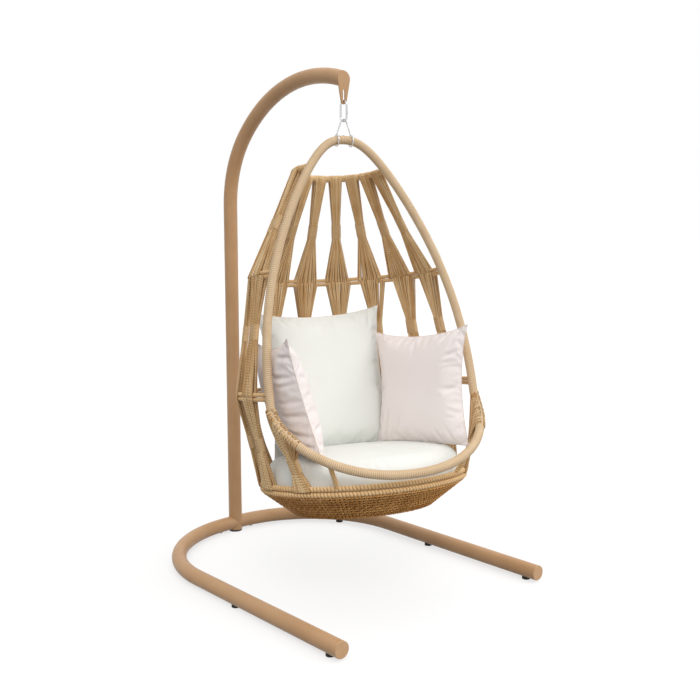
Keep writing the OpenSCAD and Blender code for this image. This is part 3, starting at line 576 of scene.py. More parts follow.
@dataclass(frozen=True)
class Finish:
    """A procedural material."""

    name: str

    def inputs(self, s: Sketch) -> Inputs:
        """The Principled shader's inputs, drawn on a sketch.

        Args:
            s: the sketch.

        Returns:
            Values and sources by the inputs' names.
        """
        raise NotImplementedError

    def build(self) -> Material:
        """Draws the material: a Principled shader on its output, fed with the finish's inputs."""
        material = bpy.data.materials.new(self.name)
        material.use_nodes = True
        s = Sketch(material.node_tree)
        shader = s.add("ShaderNodeBsdfPrincipled")
        s.add("ShaderNodeOutputMaterial", {"Surface": shader.outputs["BSDF"]})
        for key, value in self.inputs(s).items():
            s.put(value, shader.inputs[key])
        return material


@dataclass(frozen=True)
class PowderCoat(Finish):
    """Satin powder coating on metal: fine orange peel, faint clouds, dust that dulls it here and there."""

    colour: Colour
    deep: Colour
    roughness: float = 0.42
    peel: float = 420.0

    def inputs(self, s: Sketch) -> Inputs:
        """Two shades by a cloudy noise, roughness by a finer one, the peel as bump.

        Args:
            s: the sketch.

        Returns:
            Values and sources by the inputs' names.
        """
        place = s.object_place()
        cloud = s.ramp(s.noise(place, 7.0, 4.0), *NOISE, (0.0, 1.0))
        dull = s.noise(place, 38.0, 5.0)
        return {"Base Color": s.mixed(cloud, self.deep, self.colour),
                "Roughness": s.ramp(dull, 0.35, 0.7, (self.roughness - 0.05, self.roughness + 0.08)),
                "Normal": s.bumped(s.noise(place, self.peel), 0.22 * MM, 0.35),
                "Specular IOR Level": 0.35}


@dataclass(frozen=True)
class Moulding(Finish):
    """Moulded plastic or rubber: fine grain, slightly uneven gloss."""

    colour: Colour
    worn: Colour
    roughness: float

    def inputs(self, s: Sketch) -> Inputs:
        """Scuffs that pale and roughen the colour, the grain as bump.

        Args:
            s: the sketch.

        Returns:
            Values and sources by the inputs' names.
        """
        place = s.object_place()
        scuff = s.ramp(s.noise(place, 55.0, 6.0), 0.45, 0.75, (0.0, 1.0))
        return {"Base Color": s.mixed(scuff, self.colour, self.worn),
                "Roughness": s.ramp(scuff, 0.0, 1.0, (self.roughness, self.roughness + 0.15)),
                "Normal": s.bumped(s.noise(place, 1400.0), 0.2 * MM, 0.4)}


@dataclass(frozen=True)
class BrightSteel(Finish):
    """Polished steel wire: long drawing marks, small dents and a little haze."""

    colour: Colour = (0.70, 0.70, 0.71)
    dull: Colour = (0.56, 0.56, 0.5822)
    roughness: float = 0.2

    def inputs(self, s: Sketch) -> Inputs:
        """Haze between two greys, marks drawn out along Z in roughness and bump.

        Args:
            s: the sketch.

        Returns:
            Values and sources by the inputs' names.
        """
        marks = s.noise(s.object_place((1.0, 1.0, 0.04)), 2600.0, 3.0)
        haze = s.noise(s.object_place(), 60.0, 4.0)
        return {"Metallic": 1.0,
                "Base Color": s.mixed(haze, self.dull, self.colour),
                "Roughness": s.ramp(marks, *NOISE, (self.roughness - 0.08, self.roughness + 0.14)),
                "Normal": s.bumped(marks, 0.1 * MM, 0.25)}


@dataclass(frozen=True)
class CordFinish(Finish):
    """Laid plastic cord: strands that wind round it, a shade for each cord, painted shade between strands and
    in the grooves between turns.
    """

    light: Colour
    dark: Colour
    # colour of the painted shade in the grooves and between strands
    groove: Colour
    strand: float = 10 * MM
    # how far the painted shade between strands darkens the cord
    twist: float = 0.45
    roughness: float = 0.55

    def inputs(self, s: Sketch) -> Inputs:
        """The cord's shade from its tone and a patchy noise, with painted shade between strands and in the
        grooves.

        Args:
            s: the sketch.

        Returns:
            Values and sources by the inputs' names.
        """
        lay = s.add("ShaderNodeUVMap", uv_map="lay").outputs["UV"]
        wave = {"Vector": lay, "Scale": 0.628 / self.strand, "Distortion": 0.4, "Detail": 1.0}
        strands = s.add("ShaderNodeTexWave", wave, bands_direction="DIAGONAL").outputs["Fac"]
        place = s.object_place()
        patches = s.ramp(s.noise(place, 24.0, 3.0), *NOISE, (-0.25, 0.25))
        tone, crest = (
            s.add("ShaderNodeAttribute", attribute_name=key).outputs["Fac"] for key in ("tone", "crest"))
        shade = s.math("ADD", tone, patches, clamp=True)
        cord = s.mixed(shade, self.dark, self.light)
        # painted shade between the strands, darkening the cord towards the groove colour
        cord = s.mixed(s.ramp(strands, 0.0, 0.5, (self.twist, 0.0)), cord, self.groove)
        # painted shade where the crest is low: grooves between turns, cords' sides, the basket's inner side
        cord = s.mixed(s.ramp(crest, 0.0, 0.8, (0.8, 0.0)), cord, self.groove)
        fine = s.bumped(s.noise(place, 2200.0), 0.1 * MM, 0.3)
        return {"Base Color": cord,
                "Roughness": s.ramp(shade, 0.0, 1.0, (self.roughness + 0.08, self.roughness - 0.06)),
                "Normal": s.bumped(strands, 0.8 * MM, 0.7, fine),
                "Specular IOR Level": 0.12}


@dataclass(frozen=True)
class Cloth(Finish):
    """Woven outdoor cloth: warp and weft, slubs, a soft sheen and the faintest cloudiness."""

    light: Colour
    shade: Colour

    def inputs(self, s: Sketch) -> Inputs:
        """Warp and weft are noises drawn out along and across Z; their sum roughens and raises, and paints
        shade where it is low, between the threads.

        Args:
            s: the sketch.

        Returns:
            Values and sources by the inputs' names.
        """
        place = s.object_place()
        cloud = s.ramp(s.noise(place, 5.0, 4.0), *NOISE, (0.0, 0.35))
        warp = s.noise(s.object_place((1.0, 1.0, 0.08)), 1500.0)
        weft = s.noise(s.object_place((0.08, 0.08, 1.0)), 1500.0)
        weave = s.math("ADD", warp, weft)
        # painted shade in the low places of the weave, between the threads
        weave_shade = s.ramp(weave, 0.7, 1.3, (0.5, 0.0))
        broad = s.bumped(s.noise(place, 30.0, 3.0), 1.2 * MM, 0.25)
        return {"Base Color": s.mixed(weave_shade, s.mixed(cloud, self.light, self.shade), self.shade),
                "Roughness": s.ramp(weave, 0.7, 1.3, (0.92, 0.8)),
                "Normal": s.bumped(weave, 0.4 * MM, 0.6, broad),
                "Sheen Weight": 0.12,
                "Specular IOR Level": 0.2}


TAN = PowderCoat("tan_powder_coat", (0.570, 0.345, 0.182), (0.505, 0.292, 0.145))
TAN_PLASTIC = Moulding("tan_plastic", (0.530, 0.318, 0.166), (0.56, 0.35, 0.20), 0.5)
BLACK_PLASTIC = Moulding("black_plastic", (0.018, 0.018, 0.019), (0.045, 0.043, 0.042), 0.5)
BLACK_RUBBER = Moulding("black_rubber", (0.014, 0.014, 0.014), (0.05, 0.047, 0.043), 0.75)
STEEL = BrightSteel("bright_steel_wire")
# cord finishes: light and dark tone, colour of the painted shade in grooves and strand gaps, strand length,
# strength of the painted shade between strands
PALE_CORD = CordFinish(
    "pale_wound_cord", (0.800, 0.620, 0.420), (0.690, 0.500, 0.305), (0.330, 0.190, 0.085), 5 * MM, 0.15)
ROD_CORD = CordFinish(
    "straw_wound_cord", (0.960, 0.680, 0.370), (0.820, 0.530, 0.250), (0.220, 0.092, 0.030), 5 * MM, 0.2)
STRAW_CORD = CordFinish(
    "straw_cord", (0.990, 0.745, 0.430), (0.700, 0.425, 0.190), (0.150, 0.060, 0.018), twist=0.55)
BAND_CORD = CordFinish(
    "band_cord", (0.820, 0.590, 0.340), (0.700, 0.470, 0.240), (0.300, 0.160, 0.070), 5 * MM, 0.15)
BASKET_CORD = CordFinish(
    "basket_cord", (0.980, 0.530, 0.180), (0.500, 0.200, 0.045), (0.045, 0.012, 0.002), twist=0.6)
IVORY = Cloth("ivory_cloth", (0.830, 0.850, 0.815), (0.745, 0.750, 0.708))
BLUSH = Cloth("blush_cloth", (0.920, 0.860, 0.848), (0.835, 0.742, 0.715))
SEAM = Cloth("seam_cord", (0.800, 0.670, 0.610), (0.680, 0.540, 0.480))
FINISHES = (TAN, TAN_PLASTIC, BLACK_PLASTIC, BLACK_RUBBER, STEEL, PALE_CORD, ROD_CORD, STRAW_CORD, BAND_CORD,
            BASKET_CORD, IVORY, BLUSH, SEAM)
MATERIALS: dict[Finish, Material] = {}


# ---------- pieces ----------


def settle(piece: Object, finish: Finish, body: str, slot: Slot, *nodes: str) -> None:
    """Dresses a new piece, lets it ride on its body and stand for its CAD nodes.

    Args:
        piece: the new object.
        finish: its finish.
        body: the body it rides on.
        slot: the record's material slot; not used.
        nodes: CAD nodes it replaces.
    """
    piece.data.materials.append(MATERIALS[finish])
    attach(piece, body)
    if nodes:
        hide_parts(*nodes)
    LOG.info("%s: %d faces, on %s", piece.name, len(piece.data.polygons), body)


def settle_on_egg(skin: Skin, name: str, finish: Finish, slot: Slot, *nodes: str) -> None:
    """Makes a skin of the egg's frame a piece that rides on the egg, settled as above."""
    skin.points = EGG.place(skin.points)
    settle(skin.object(name), finish, "egg", slot, *nodes)


@dataclass
class Stand:
    """The tube stand and the small metal and rubber parts, whose CAD shapes are right as they are."""

    finishes: dict[str, Finish] = field(default_factory=lambda: {
        "base_tube_left": TAN, "base_tube_right": TAN, "mast": TAN, "eye_plate": TAN,
        "leg_end_caps": TAN_PLASTIC, "mast_foot": BLACK_PLASTIC, "rubber_feet": BLACK_RUBBER,
        "base_sleeves": STEEL, "base_bolts": STEEL, "carabiner": STEEL, "carabiner_gate": STEEL,
        "gate_pin": STEEL, "hoop_screw": STEEL})

    def build(self) -> None:
        """Gives each CAD node its finish."""
        for node, finish in self.finishes.items():
            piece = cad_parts[node]
            piece.data.materials.clear()
            piece.data.materials.append(MATERIALS[finish])
            LOG.info("%s: finished in %s", node, finish.name)


@dataclass
class Bail:
    """The steel bail: two strands twisted together, with an eye round the hoop at each foot."""

    hang: tuple[float, float, float] = (0.0, -0.108, 1.78913)
    yaw: float = -16.0
    bend: float = 11 * MM
    foot_x: float = 30 * MM
    eye_z: float = -69.27 * MM
    eye_r: float = 20.9 * MM
    eye_wire: float = 2.6 * MM
    eye_steps: int = 96
    eye_sides: int = 14
    bend_steps: int = 60
    strand: float = 1.7 * MM
    strand_sides: int = 10
    strand_steps: int = 260
    overlap: float = 0.85
    pitch: float = 13 * MM

    def path(self) -> Array:
        """The bail's axis in its own plane: an arm tangent to the bend, the bend, and the other arm.

        The arm leaves the bend at the angle of its foot plus the arccosine of the bend's radius over the
        foot's distance.
        """
        foot = np.array([self.foot_x, self.eye_z + self.eye_r])
        start = math.atan2(foot[1], foot[0]) + math.acos(self.bend / np.hypot(*foot))
        angle = np.linspace(start, math.pi - start, self.bend_steps)
        arc = self.bend * np.stack([np.cos(angle), np.sin(angle)], -1)
        flat = np.concatenate([foot[None], arc, (foot * np.array([-1, 1]))[None]])
        return np.stack([flat[:, 0], np.zeros(len(flat)), flat[:, 1]], -1)

    def build(self) -> None:
        """Builds the strands, which circle the axis half a turn apart, and the two eyes."""
        axis = evenly(self.path(), self.strand_steps)[None]
        first, second = directions(axis, BACK)
        turn = 2 * np.pi * lengths_along(axis)[..., None] / self.pitch
        strands = np.concatenate([
            axis + self.overlap * self.strand * (np.cos(turn + p) * first + np.sin(turn + p) * second)
            for p in (0, np.pi)])
        angle = np.linspace(0, 2 * np.pi, self.eye_steps + 1)[:-1]
        ring = np.stack([np.zeros(self.eye_steps), np.sin(angle), np.cos(angle)], -1) * self.eye_r
        eyes = np.stack([ring + np.array([s * self.foot_x, 0, self.eye_z]) for s in (1, -1)])
        skin = joined([swept(strands, self.strand, self.strand_sides, BACK),
                       swept(eyes, self.eye_wire, self.eye_sides, np.array([1.0, 0, 0]), True)])
        skin.points = turned(skin.points, "Z", self.yaw) + np.array(self.hang)
        settle(skin.object("bail_wire"), STEEL, "bail", Slot.STEEL, "bail")


@dataclass
class WoundRods:
    """The front hoop, the rings, the rim and the two struts, all wound with cord: fine, coarse on the rim."""

    hoop: Wrap = Wrap(EGG.hoop_radius, pitch=7.2 * MM, groove=1.2 * MM, sides=18)
    bar: Wrap = Wrap(13.5 * MM)
    ring: Wrap = Wrap(EGG.upper.radius)
    rim: Wrap = Wrap(EGG.rim_radius, 12.5 * MM, 2.9 * MM, sides=14, steps=8)
    strut: Wrap = Wrap(9 * MM)
    strut_hoop_angle: float = 138.0
    strut_rim_angle: float = 143.0
    strut_bite: float = 2 * MM
    strut_steps: int = 40

    def strut_path(self, side: float) -> Array:
        """A strut's axis, straight from just inside the hoop to just inside the rim.

        Args:
            side: +1 or -1.

        Returns:
            (points, 3).
        """
        top = EGG.hoop_at(self.strut_hoop_angle, side)
        foot = RIM.at(side * self.strut_rim_angle)
        way, bite = unit(foot - top), self.strut_bite
        ends = np.stack([top + way * (EGG.hoop_radius - bite), foot - way * (RIM.radius - bite)])
        return evenly(ends, self.strut_steps)

    def build(self) -> None:
        """Builds each rod and lets it stand for its CAD node."""
        skins = {"front_hoop": self.hoop.skin(EGG.hoop_path(), BACK, True)}
        wraps = {"top_bar": self.bar, "rim_top_rod": self.rim, "rim_bottom_rod": self.rim}
        for node, rod in RODS.items():
            skins[node] = wraps.get(node, self.ring).skin(rod.path(), UP, rod.closed)
        for name, side in SIDES:
            skins["front_strut_" + name] = self.strut.skin(self.strut_path(side), BACK)
        for node, skin in skins.items():
            cord = PALE_CORD if node == "front_hoop" else ROD_CORD
            settle_on_egg(skin, node + "_wound", cord, Slot.WRAP, node)


@dataclass(frozen=True)
class Bunch:
    """How a sheaf is bunched: its widths at the top, waist and foot, the shares of its height where the waist
    starts and ends, cords in each of its two rows, and the degrees that they turn round each rod."""

    top: float
    waist: float
    foot: float
    start: float
    end: float
    per_row: int
    arcs: tuple[float, float]

    def between(self, s: Array, ends: tuple[float, float], middle: float) -> Array:
        """A value at a share s of the height: straight lines from one end to the waist's and to the other."""
        return np.interp(s, [0, self.start, self.end, 1], [ends[0], middle, middle, ends[1]])

    def half(self, s: Array) -> Array:
        """Half width at a share s of the height."""
        return self.between(s, (self.top / 2, self.foot / 2), self.waist / 2)


@dataclass(frozen=True)
class Tier:
    """A tier of sheaves: its name, its upper and lower rod, degrees between sheaves, how each is bunched."""

    name: str
    upper: str
    lower: str
    step: float
    bunch: Bunch


TIERS = (
    Tier("top", "top_bar", "upper_ring_top_rod", 21.5,
         Bunch(54 * MM, 34 * MM, 102 * MM, 0.44, 0.58, 11, (90.0, 45.0))),
    Tier("middle", "upper_ring_bottom_rod", "lower_ring_top_rod", 22.5,
         Bunch(106 * MM, 44 * MM, 92 * MM, 0.40, 0.54, 12, (45.0, 45.0))),
    Tier("bottom", "lower_ring_bottom_rod", "rim_top_rod", 22.5,
         Bunch(88 * MM, 38 * MM, 80 * MM, 0.44, 0.60, 10, (45.0, 45.0))))
FAN = Bunch(180 * MM, 40 * MM, 66 * MM, 0.50, 0.72, 18, (75.0, 45.0))


@dataclass(frozen=True)
class Course:
    """Where a cord runs: its points on both rods' axes, the unit vectors through the sheaf at either rod, and
    the one away from the sheaf at the upper rod."""

    upper: Array
    lower: Array
    out_up: Array
    out_low: Array
    away: Array

    def path(self, row: float, lean: float, bunch: Bunch, grip: tuple[float, float]) -> Array:
        """One cord's path: round the upper rod, down past the waist and round the lower rod.

        Between the rods the path is (1 - s) times the upper point plus s times the lower point, moved
        through the sheaf by a distance that falls from the rod's grip to the lean at the waist. At a rod it
        turns by an arc of the grip's radius.

        Args:
            row: +1 outside, -1 inside, or between them.
            lean: the cord's distance from the sheaf's middle plane at the waist.
            bunch: how the sheaf is bunched.
            grip: distance of the cord's axis from the upper and the lower rod's axis.

        Returns:
            (points, 3).
        """
        s = np.linspace(0, 1, len(self.upper))[:, None]
        offset = bunch.between(s[:, 0], grip, lean)
        through = unit((1 - s) * self.out_up + s * self.out_low)
        run = (1 - s) * self.upper + s * self.lower + row * offset[:, None] * through
        up, down = (np.radians(np.linspace(0, arc, 5)[1:])[:, None] for arc in bunch.arcs)
        up = up[::-1]
        head = self.upper[0] + grip[0] * (np.cos(up) * row * self.out_up + np.sin(up) * self.away)
        tail = self.lower[-1] + grip[1] * (np.cos(down) * row * self.out_low - np.sin(down) * UP)
        return np.concatenate([head, run, tail])


@dataclass(frozen=True)
class Band:
    """The cord wound round a sheaf's waist: its turns, its grooves, its ends, and how closely it lies."""

    pitch: float = 5.6 * MM
    groove: float = 0.9 * MM
    tuck: float = 3.4 * MM
    side_room: float = 2.6 * MM
    face_room: float = 1.2 * MM
    margin: float = 0.004
    squareness: float = 0.75
    sides: int = 28
    steps: int = 6
    map_radius: float = 0.02

    def skin(self, upper: Array, lower: Array, along: Array, bunch: Bunch, half_thickness: float) -> Skin:
        """A wound band round a waist.

        Its rings are flat ovals, (half width cos, half thickness sin) to the power of the squareness, carried
        along the sheaf, with a groove between turns, and both ends are tucked in on the cords. Its crest is 0
        in the grooves and at the tucked ends, where the finish paints shade.

        Args:
            upper: the sheaf's middle on the upper rod's axis.
            lower: its middle on the lower rod's axis.
            along: unit vector across the sheaf.
            bunch: how the sheaf is bunched.
            half_thickness: distance of the outermost cords' surface from the sheaf's middle plane.

        Returns:
            The skin.
        """
        height = np.linalg.norm(lower - upper)
        turns = max(FEWEST_TURNS, round(height * (bunch.end - bunch.start) / self.pitch))
        rings = turns * self.steps + 1
        s = np.linspace(bunch.start + self.margin, bunch.end - self.margin, rings)
        s = np.concatenate([s[:1], s, s[-1:]])
        # painted shade: the crest is 0 at the tucked ends and in the grooves between turns
        crest = np.concatenate([[0.0], coil(np.linspace(0, turns, rings)), [0.0]])
        shrink = np.concatenate([[-self.tuck], -self.groove * (1 - crest[1:-1]), [-self.tuck]])
        centre = upper + (lower - upper) * s[:, None]
        down = unit(lower - upper)
        first = unit(along - dot(along, down) * down)
        angle = circle(self.sides)
        flat = np.stack([np.cos(angle), np.sin(angle)], -1)
        flat = np.sign(flat) * np.abs(flat) ** self.squareness
        half_w = bunch.waist / 2 + self.side_room + shrink
        half_t = half_thickness + self.face_room + shrink
        points = (centre[:, None] + half_w[:, None, None] * flat[None, :, :1] * first
                  + half_t[:, None, None] * flat[None, :, 1:] * np.cross(down, first))
        rows, cols = grid_corners(len(s), self.sides)
        uv = np.stack([s[rows] * height, cols / self.sides * 2 * np.pi * self.map_radius], -1).reshape(-1, 2)
        crests = np.repeat(crest, self.sides)
        return Skin(points.reshape(-1, 3), [rows * self.sides + cols % self.sides], uv,
                    {"tone": np.full(len(crests), PLAIN_TONE), "crest": crests})


@dataclass
class Sheaves:
    """All sheaves of cord, each drawn together by a wound band at its waist."""

    cord: float = 3.4 * MM
    thickness_spread: tuple[float, float] = (0.92, 1.06)
    sides: int = 8
    # crest on the cords' sides, where the finish paints shade between neighbouring cords
    shaded: float = 0.15
    stations: int = 20
    core: int = 9
    core_rows: tuple[float, float] = (-0.25, 0.35)
    lean: float = 4.6 * MM
    layer: float = 3.4 * MM
    jitter: float = 0.05
    sheaf_count: int = 9
    turn: float = 3.4
    hoop_angle: float = 105.0
    hoop_reach: float = 14.0
    rim_angle: float = 123.0
    band: Band = Band()
    seed: int = 11

    def grip(self, radius: float, share: float = 0.8) -> float:
        """Distance of a cord's axis from that of a rod it goes round: the radius and a share of its own."""
        return radius + share * self.cord

    def shares(self, per_row: int, rng: Generator) -> tuple[Array, Array]:
        """Places of the cords across a sheaf and their rows.

        The inner row lies in the gaps of the outer one, and a few cords between the rows fill the core.

        Args:
            per_row: cords in each of the two rows.
            rng: source of the small differences.

        Returns:
            Places from -1 to 1, and rows from -1 inside to 1 outside.
        """
        outer = np.linspace(-1, 1, per_row)
        across = np.concatenate([outer, outer * (1 - 1 / per_row), np.linspace(-1, 1, self.core)])
        rows = np.concatenate([np.repeat([Row.OUTER.value, Row.INNER.value], per_row),
                               np.resize(self.core_rows, self.core)])
        return np.clip(across + rng.uniform(-self.jitter, self.jitter, len(across)), -1, 1), rows

    def between(self, upper: Rod, lower: Rod, t: float, share: float, half: Array) -> Course:
        """Course of a cord between two rods.

        Args:
            upper: the upper rod.
            lower: the lower rod.
            t: the sheaf's angle; the cord's own adds its share of the half width over the metres in a degree.
            share: the cord's place across the sheaf.
            half: the sheaf's half width at each station.

        Returns:
            The course.
        """
        tu = t + share * half / upper.shape.speed(np.array([t]))
        tl = t + share * half / lower.shape.speed(np.array([t]))
        return Course(upper.shape.point(tu, upper.z), lower.shape.point(tl, lower.z),
                      upper.shape.outward(tu[:1])[0], lower.shape.outward(tl[-1:])[0], UP)

    def from_hoop(self, side: float, share: float, half: Array) -> Course:
        """Course of a cord that fans from the hoop's lower corner to the rim.

        Args:
            side: +1 or -1.
            share: the cord's place across the sheaf.
            half: the sheaf's half width at each station.

        Returns:
            The course.
        """
        th = self.hoop_angle + self.hoop_reach * share * half / half[0]
        tr = side * (self.rim_angle + share * half / RIM.shape.speed(np.array([self.rim_angle])))
        upper, lower = EGG.hoop(th, side), RIM.shape.point(tr, RIM.z)
        run = unit(EGG.hoop(th[:1] + 1, side)[0] - EGG.hoop(th[:1] - 1, side)[0])
        way = lower[0] - upper[0]
        away = -unit(way - dot(way, run) * run)
        out_low = RIM.shape.outward(tr[-1:])[0]
        out_up = np.cross(run, away)
        return Course(upper, lower, out_up * np.sign(dot(out_up, out_low)), out_low, away)

    def paths(self, course: Callable[[float, Array], Course], bunch: Bunch, grip: tuple[float, float],
              rng: Generator) -> list[Array]:
        """Paths of the cords of one sheaf; at the waist every second cord lies a layer further out.

        Args:
            course: gives a cord's course from its place across and the half widths.
            bunch: how the sheaf is bunched.
            grip: distance of the cords' axes from the upper and the lower rod's axis.
            rng: source of the small differences.

        Returns:
            One (points, 3) for each cord.
        """
        across, rows = self.shares(bunch.per_row, rng)
        half = bunch.half(np.linspace(0, 1, self.stations)) - self.cord
        leans = self.lean + self.layer * (np.arange(len(rows)) % 2)
        return [course(share, half).path(row, lean, bunch, grip)
                for share, row, lean in zip(across, rows, leans)]

    def cords(self, name: str, node: str, paths: list[Array], rng: Generator) -> None:
        """Makes a piece of many cords, each a little thicker or thinner and with a shade of its own, and with
        painted shade on its sides, where it lies against its neighbours.

        Args:
            name: the piece's name.
            node: the CAD node it stands for.
            paths: the cords' paths.
            rng: source of thicknesses and shades.
        """
        stack = np.stack(paths)
        size = self.cord * rng.uniform(*self.thickness_spread, (len(stack), 1, 1))
        tone = rng.uniform(0.0, 1.0, len(stack))
        outward = unit(stack.mean(axis=1, keepdims=True) * [1.0, 1.0, 0.0])
        # painted shade on each cord's sides, where it lies against its neighbours
        side_shade = self.shaded + (1 - self.shaded) * np.abs(np.cos(circle(self.sides)))
        skin = swept(stack, size, self.sides, outward, tone=tone, crest=side_shade[None, None])
        settle_on_egg(skin, name, STRAW_CORD, Slot.STRAW, node)

    def bound(self, upper: Array, lower: Array, out: Array, bunch: Bunch) -> Skin:
        """The band of a sheaf between two points, set square to the direction out of the egg."""
        return self.band.skin(upper, lower, np.cross(out, UP), bunch, self.lean + self.layer + self.cord)

    def tier(self, tier: Tier) -> None:
        """Builds a tier's cords and bands.

        Args:
            tier: the tier.
        """
        rng = np.random.default_rng(self.seed)
        upper, lower = RODS[tier.upper], RODS[tier.lower]
        grip = (self.grip(upper.radius), self.grip(lower.radius))
        paths, bands = [], []
        for t in (np.arange(self.sheaf_count) - (self.sheaf_count - 1) / 2) * tier.step - self.turn:
            paths += self.paths(partial(self.between, upper, lower, float(t)), tier.bunch, grip, rng)
            bands.append(self.bound(upper.at(t), lower.at(t), lower.out(t), tier.bunch))
        self.cords(tier.name + "_sheaf_cords", tier.name + "_sheaves", paths, rng)
        settle_on_egg(joined(bands), tier.name + "_sheaf_bands", BAND_CORD, Slot.BAND, tier.name + "_bands")

    def fans(self) -> None:
        """Builds the two sheaves that fan from the hoop to the rim, and their bands."""
        rng = np.random.default_rng(self.seed + 1)
        grip = (self.grip(EGG.hoop_radius, 0.1), self.grip(RIM.radius))
        bands = []
        for name, side in SIDES:
            node = "front_sheaf_" + name
            self.cords(node + "_cords", node, self.paths(partial(self.from_hoop, side), FAN, grip, rng), rng)
            t = side * self.rim_angle
            bands.append(self.bound(EGG.hoop_at(self.hoop_angle, side), RIM.at(t), RIM.out(t), FAN))
        settle_on_egg(joined(bands), "front_sheaf_bands", BAND_CORD, Slot.BAND, "front_bands")

    def build(self) -> None:
        """Builds the three tiers and the two fans."""
        for tier in TIERS:
            self.tier(tier)
        self.fans()


@dataclass
class Basket:
    """The basket under the seat: stakes twined with pairs of cords, and a plain-woven floor."""

    stakes: int = 134
    rows: int = 9
    cord: float = 2.3 * MM
    stake: float = 2.1 * MM
    sides: int = 6
    swing: float = 2.0 * MM
    cross: float = 3.1 * MM
    steps: int = 4
    floor_pitch: float = 9 * MM
    floor_edge: float = 4 * MM
    floor_steps: int = 130
    floor_rise: float = 0.6
    row_start: float = 0.35
    row_span: float = 0.3
    stake_shares: tuple[float, float, int] = (-0.03, 1.0, 9)
    # lifts the painted light round each basket cord; the side facing into the basket stays in painted shade
    light: float = 0.2

    def wall(self, f: Array, t: Array) -> Array:
        """Points of the wall's middle, whose sizes all run straight from the rim to the floor.

        Args:
            f: shares of the way down.
            t: angles in degrees.

        Returns:
            The points, in the shape that f and t give together.
        """
        under, thin = -EGG.rim_level - 2 * EGG.rim_radius, EGG.half_weave
        a = EGG.rim.a + (EGG.floor.a - thin - EGG.rim.a) * f
        b = EGG.rim.b + (EGG.floor.b - thin - EGG.rim.b) * f
        return Ellipse(a, b, EGG.floor.centre * f).point(t, under + (-EGG.floor_level + thin - under) * f)

    def tubes(self, paths: Array, radius: float, guide: Array, tones: Array, outward: float,
              closed: bool = False) -> Skin:
        """Cords of the basket, with painted light on their outer side and painted shade on the side that
        faces into the basket.

        Args:
            paths: (paths, points, 3).
            radius: the cords' radius.
            guide: direction that each ring's first point leans to.
            tones: a shade for each path.
            outward: angle of the ring's point that looks out of the basket; the crest, which paints the
                shade, is light plus the cosine of the angle from it, held between 0 and 1.
            closed: whether each path closes on itself.

        Returns:
            The skin.
        """
        crest = np.clip(self.light + np.cos(circle(self.sides) - outward), 0, 1)[None, None]
        return swept(paths, radius, self.sides, guide, closed, tone=tones, crest=crest)

    def twining(self) -> Skin:
        """Pairs of cords that twist round each other and take in a stake at each half turn.

        Cord j of a pair lies at the wall's point plus swing cos(pi q + pi j) outwards plus cross
        sin(pi q + pi j) down the wall, where q counts the stakes passed.
        """
        rng = np.random.default_rng(5)
        q = np.arange(self.stakes * self.steps) / self.steps
        t = 360 * q / self.stakes
        f = (np.arange(self.rows) + self.row_start) / (self.rows - self.row_span)
        grid = self.wall(f[:, None], t[None])
        down = unit(self.wall(f[:, None] + 0.01, t[None]) - grid)
        out = unit(np.cross(down, unit(np.gradient(grid, axis=1))))
        out = out * np.sign(dot(out, np.broadcast_to(grid - grid.mean(axis=(0, 1)), grid.shape)))
        paths = []
        for j in (0, 1):
            phase = np.pi * (q[None] + j + np.arange(self.rows)[:, None] % 2)[..., None]
            paths.append(grid + self.swing * np.cos(phase) * out + self.cross * np.sin(phase) * down)
        stack = np.concatenate(paths)
        # painted shade on each cord's side that faces into the basket
        return self.tubes(stack, self.cord, UP, rng.uniform(0.2, 1.0, len(stack)), -0.5 * np.pi, True)

    def uprights(self) -> Skin:
        """The stakes, from the rim down to the floor."""
        rng = np.random.default_rng(6)
        t = 360 * (np.arange(self.stakes)) / self.stakes
        paths = self.wall(np.linspace(*self.stake_shares)[None], t[:, None])
        out = np.stack([np.sin(np.radians(t)), np.cos(np.radians(t)), 0 * t], -1)[:, None]
        # painted shade on each stake's inner side
        return self.tubes(paths, self.stake, out, rng.uniform(0.1, 0.6, self.stakes), 0.0)

    def floor(self) -> Skin:
        """The floor's plain weave.

        A cord along X in row k rises by swing cos(pi x / pitch) times -1 to the power k, and one along Y
        falls by the same in y; each is as long as the floor's ellipse is there.
        """
        a, b = EGG.floor.a - self.floor_edge, EGG.floor.b - self.floor_edge
        level = -EGG.floor_level + EGG.half_weave
        skins = []
        for long, short, flip in ((a, b, 1.0), (b, a, -1.0)):
            k = np.arange(-int(short / self.floor_pitch) + 1, int(short / self.floor_pitch))
            off = k * self.floor_pitch
            half = long * np.sqrt(1 - (off / short) ** 2)
            run = np.linspace(-1, 1, self.floor_steps)[None] * half[:, None]
            rise = flip * self.swing * np.cos(np.pi * run / self.floor_pitch) * ((-1.0) ** k)[:, None]
            side = np.broadcast_to(off[:, None], run.shape)
            x, y = (run, side) if flip > 0 else (side, run)
            paths = np.stack([x, y + EGG.floor.centre, level + self.floor_rise * rise], -1)
            tones = np.random.default_rng(8).uniform(0.1, 0.8, len(k))
            # painted shade on the floor cords' upper side, which faces into the basket
            skins.append(self.tubes(paths, self.cord, UP, tones, np.pi))
        return joined(skins)

    def build(self) -> None:
        """Builds the wall and the floor."""
        wall = joined([self.twining(), self.uprights()])
        settle_on_egg(wall, "basket_twining", BASKET_CORD, Slot.BASKET, "basket_wall")
        settle_on_egg(self.floor(), "basket_floor_weave", BASKET_CORD, Slot.BASKET, "basket_floor")


# ---------- cushions ----------


CLOTH_SETTINGS = {
    "quality": 6, "mass": 0.25, "tension_stiffness": 12, "compression_stiffness": 12, "shear_stiffness": 4,
    "bending_stiffness": 0.12, "use_pressure": True, "uniform_pressure_force": 4.0}
CLOTH_FRAMES = 20
SEAT_TOP = -1173.55 * MM


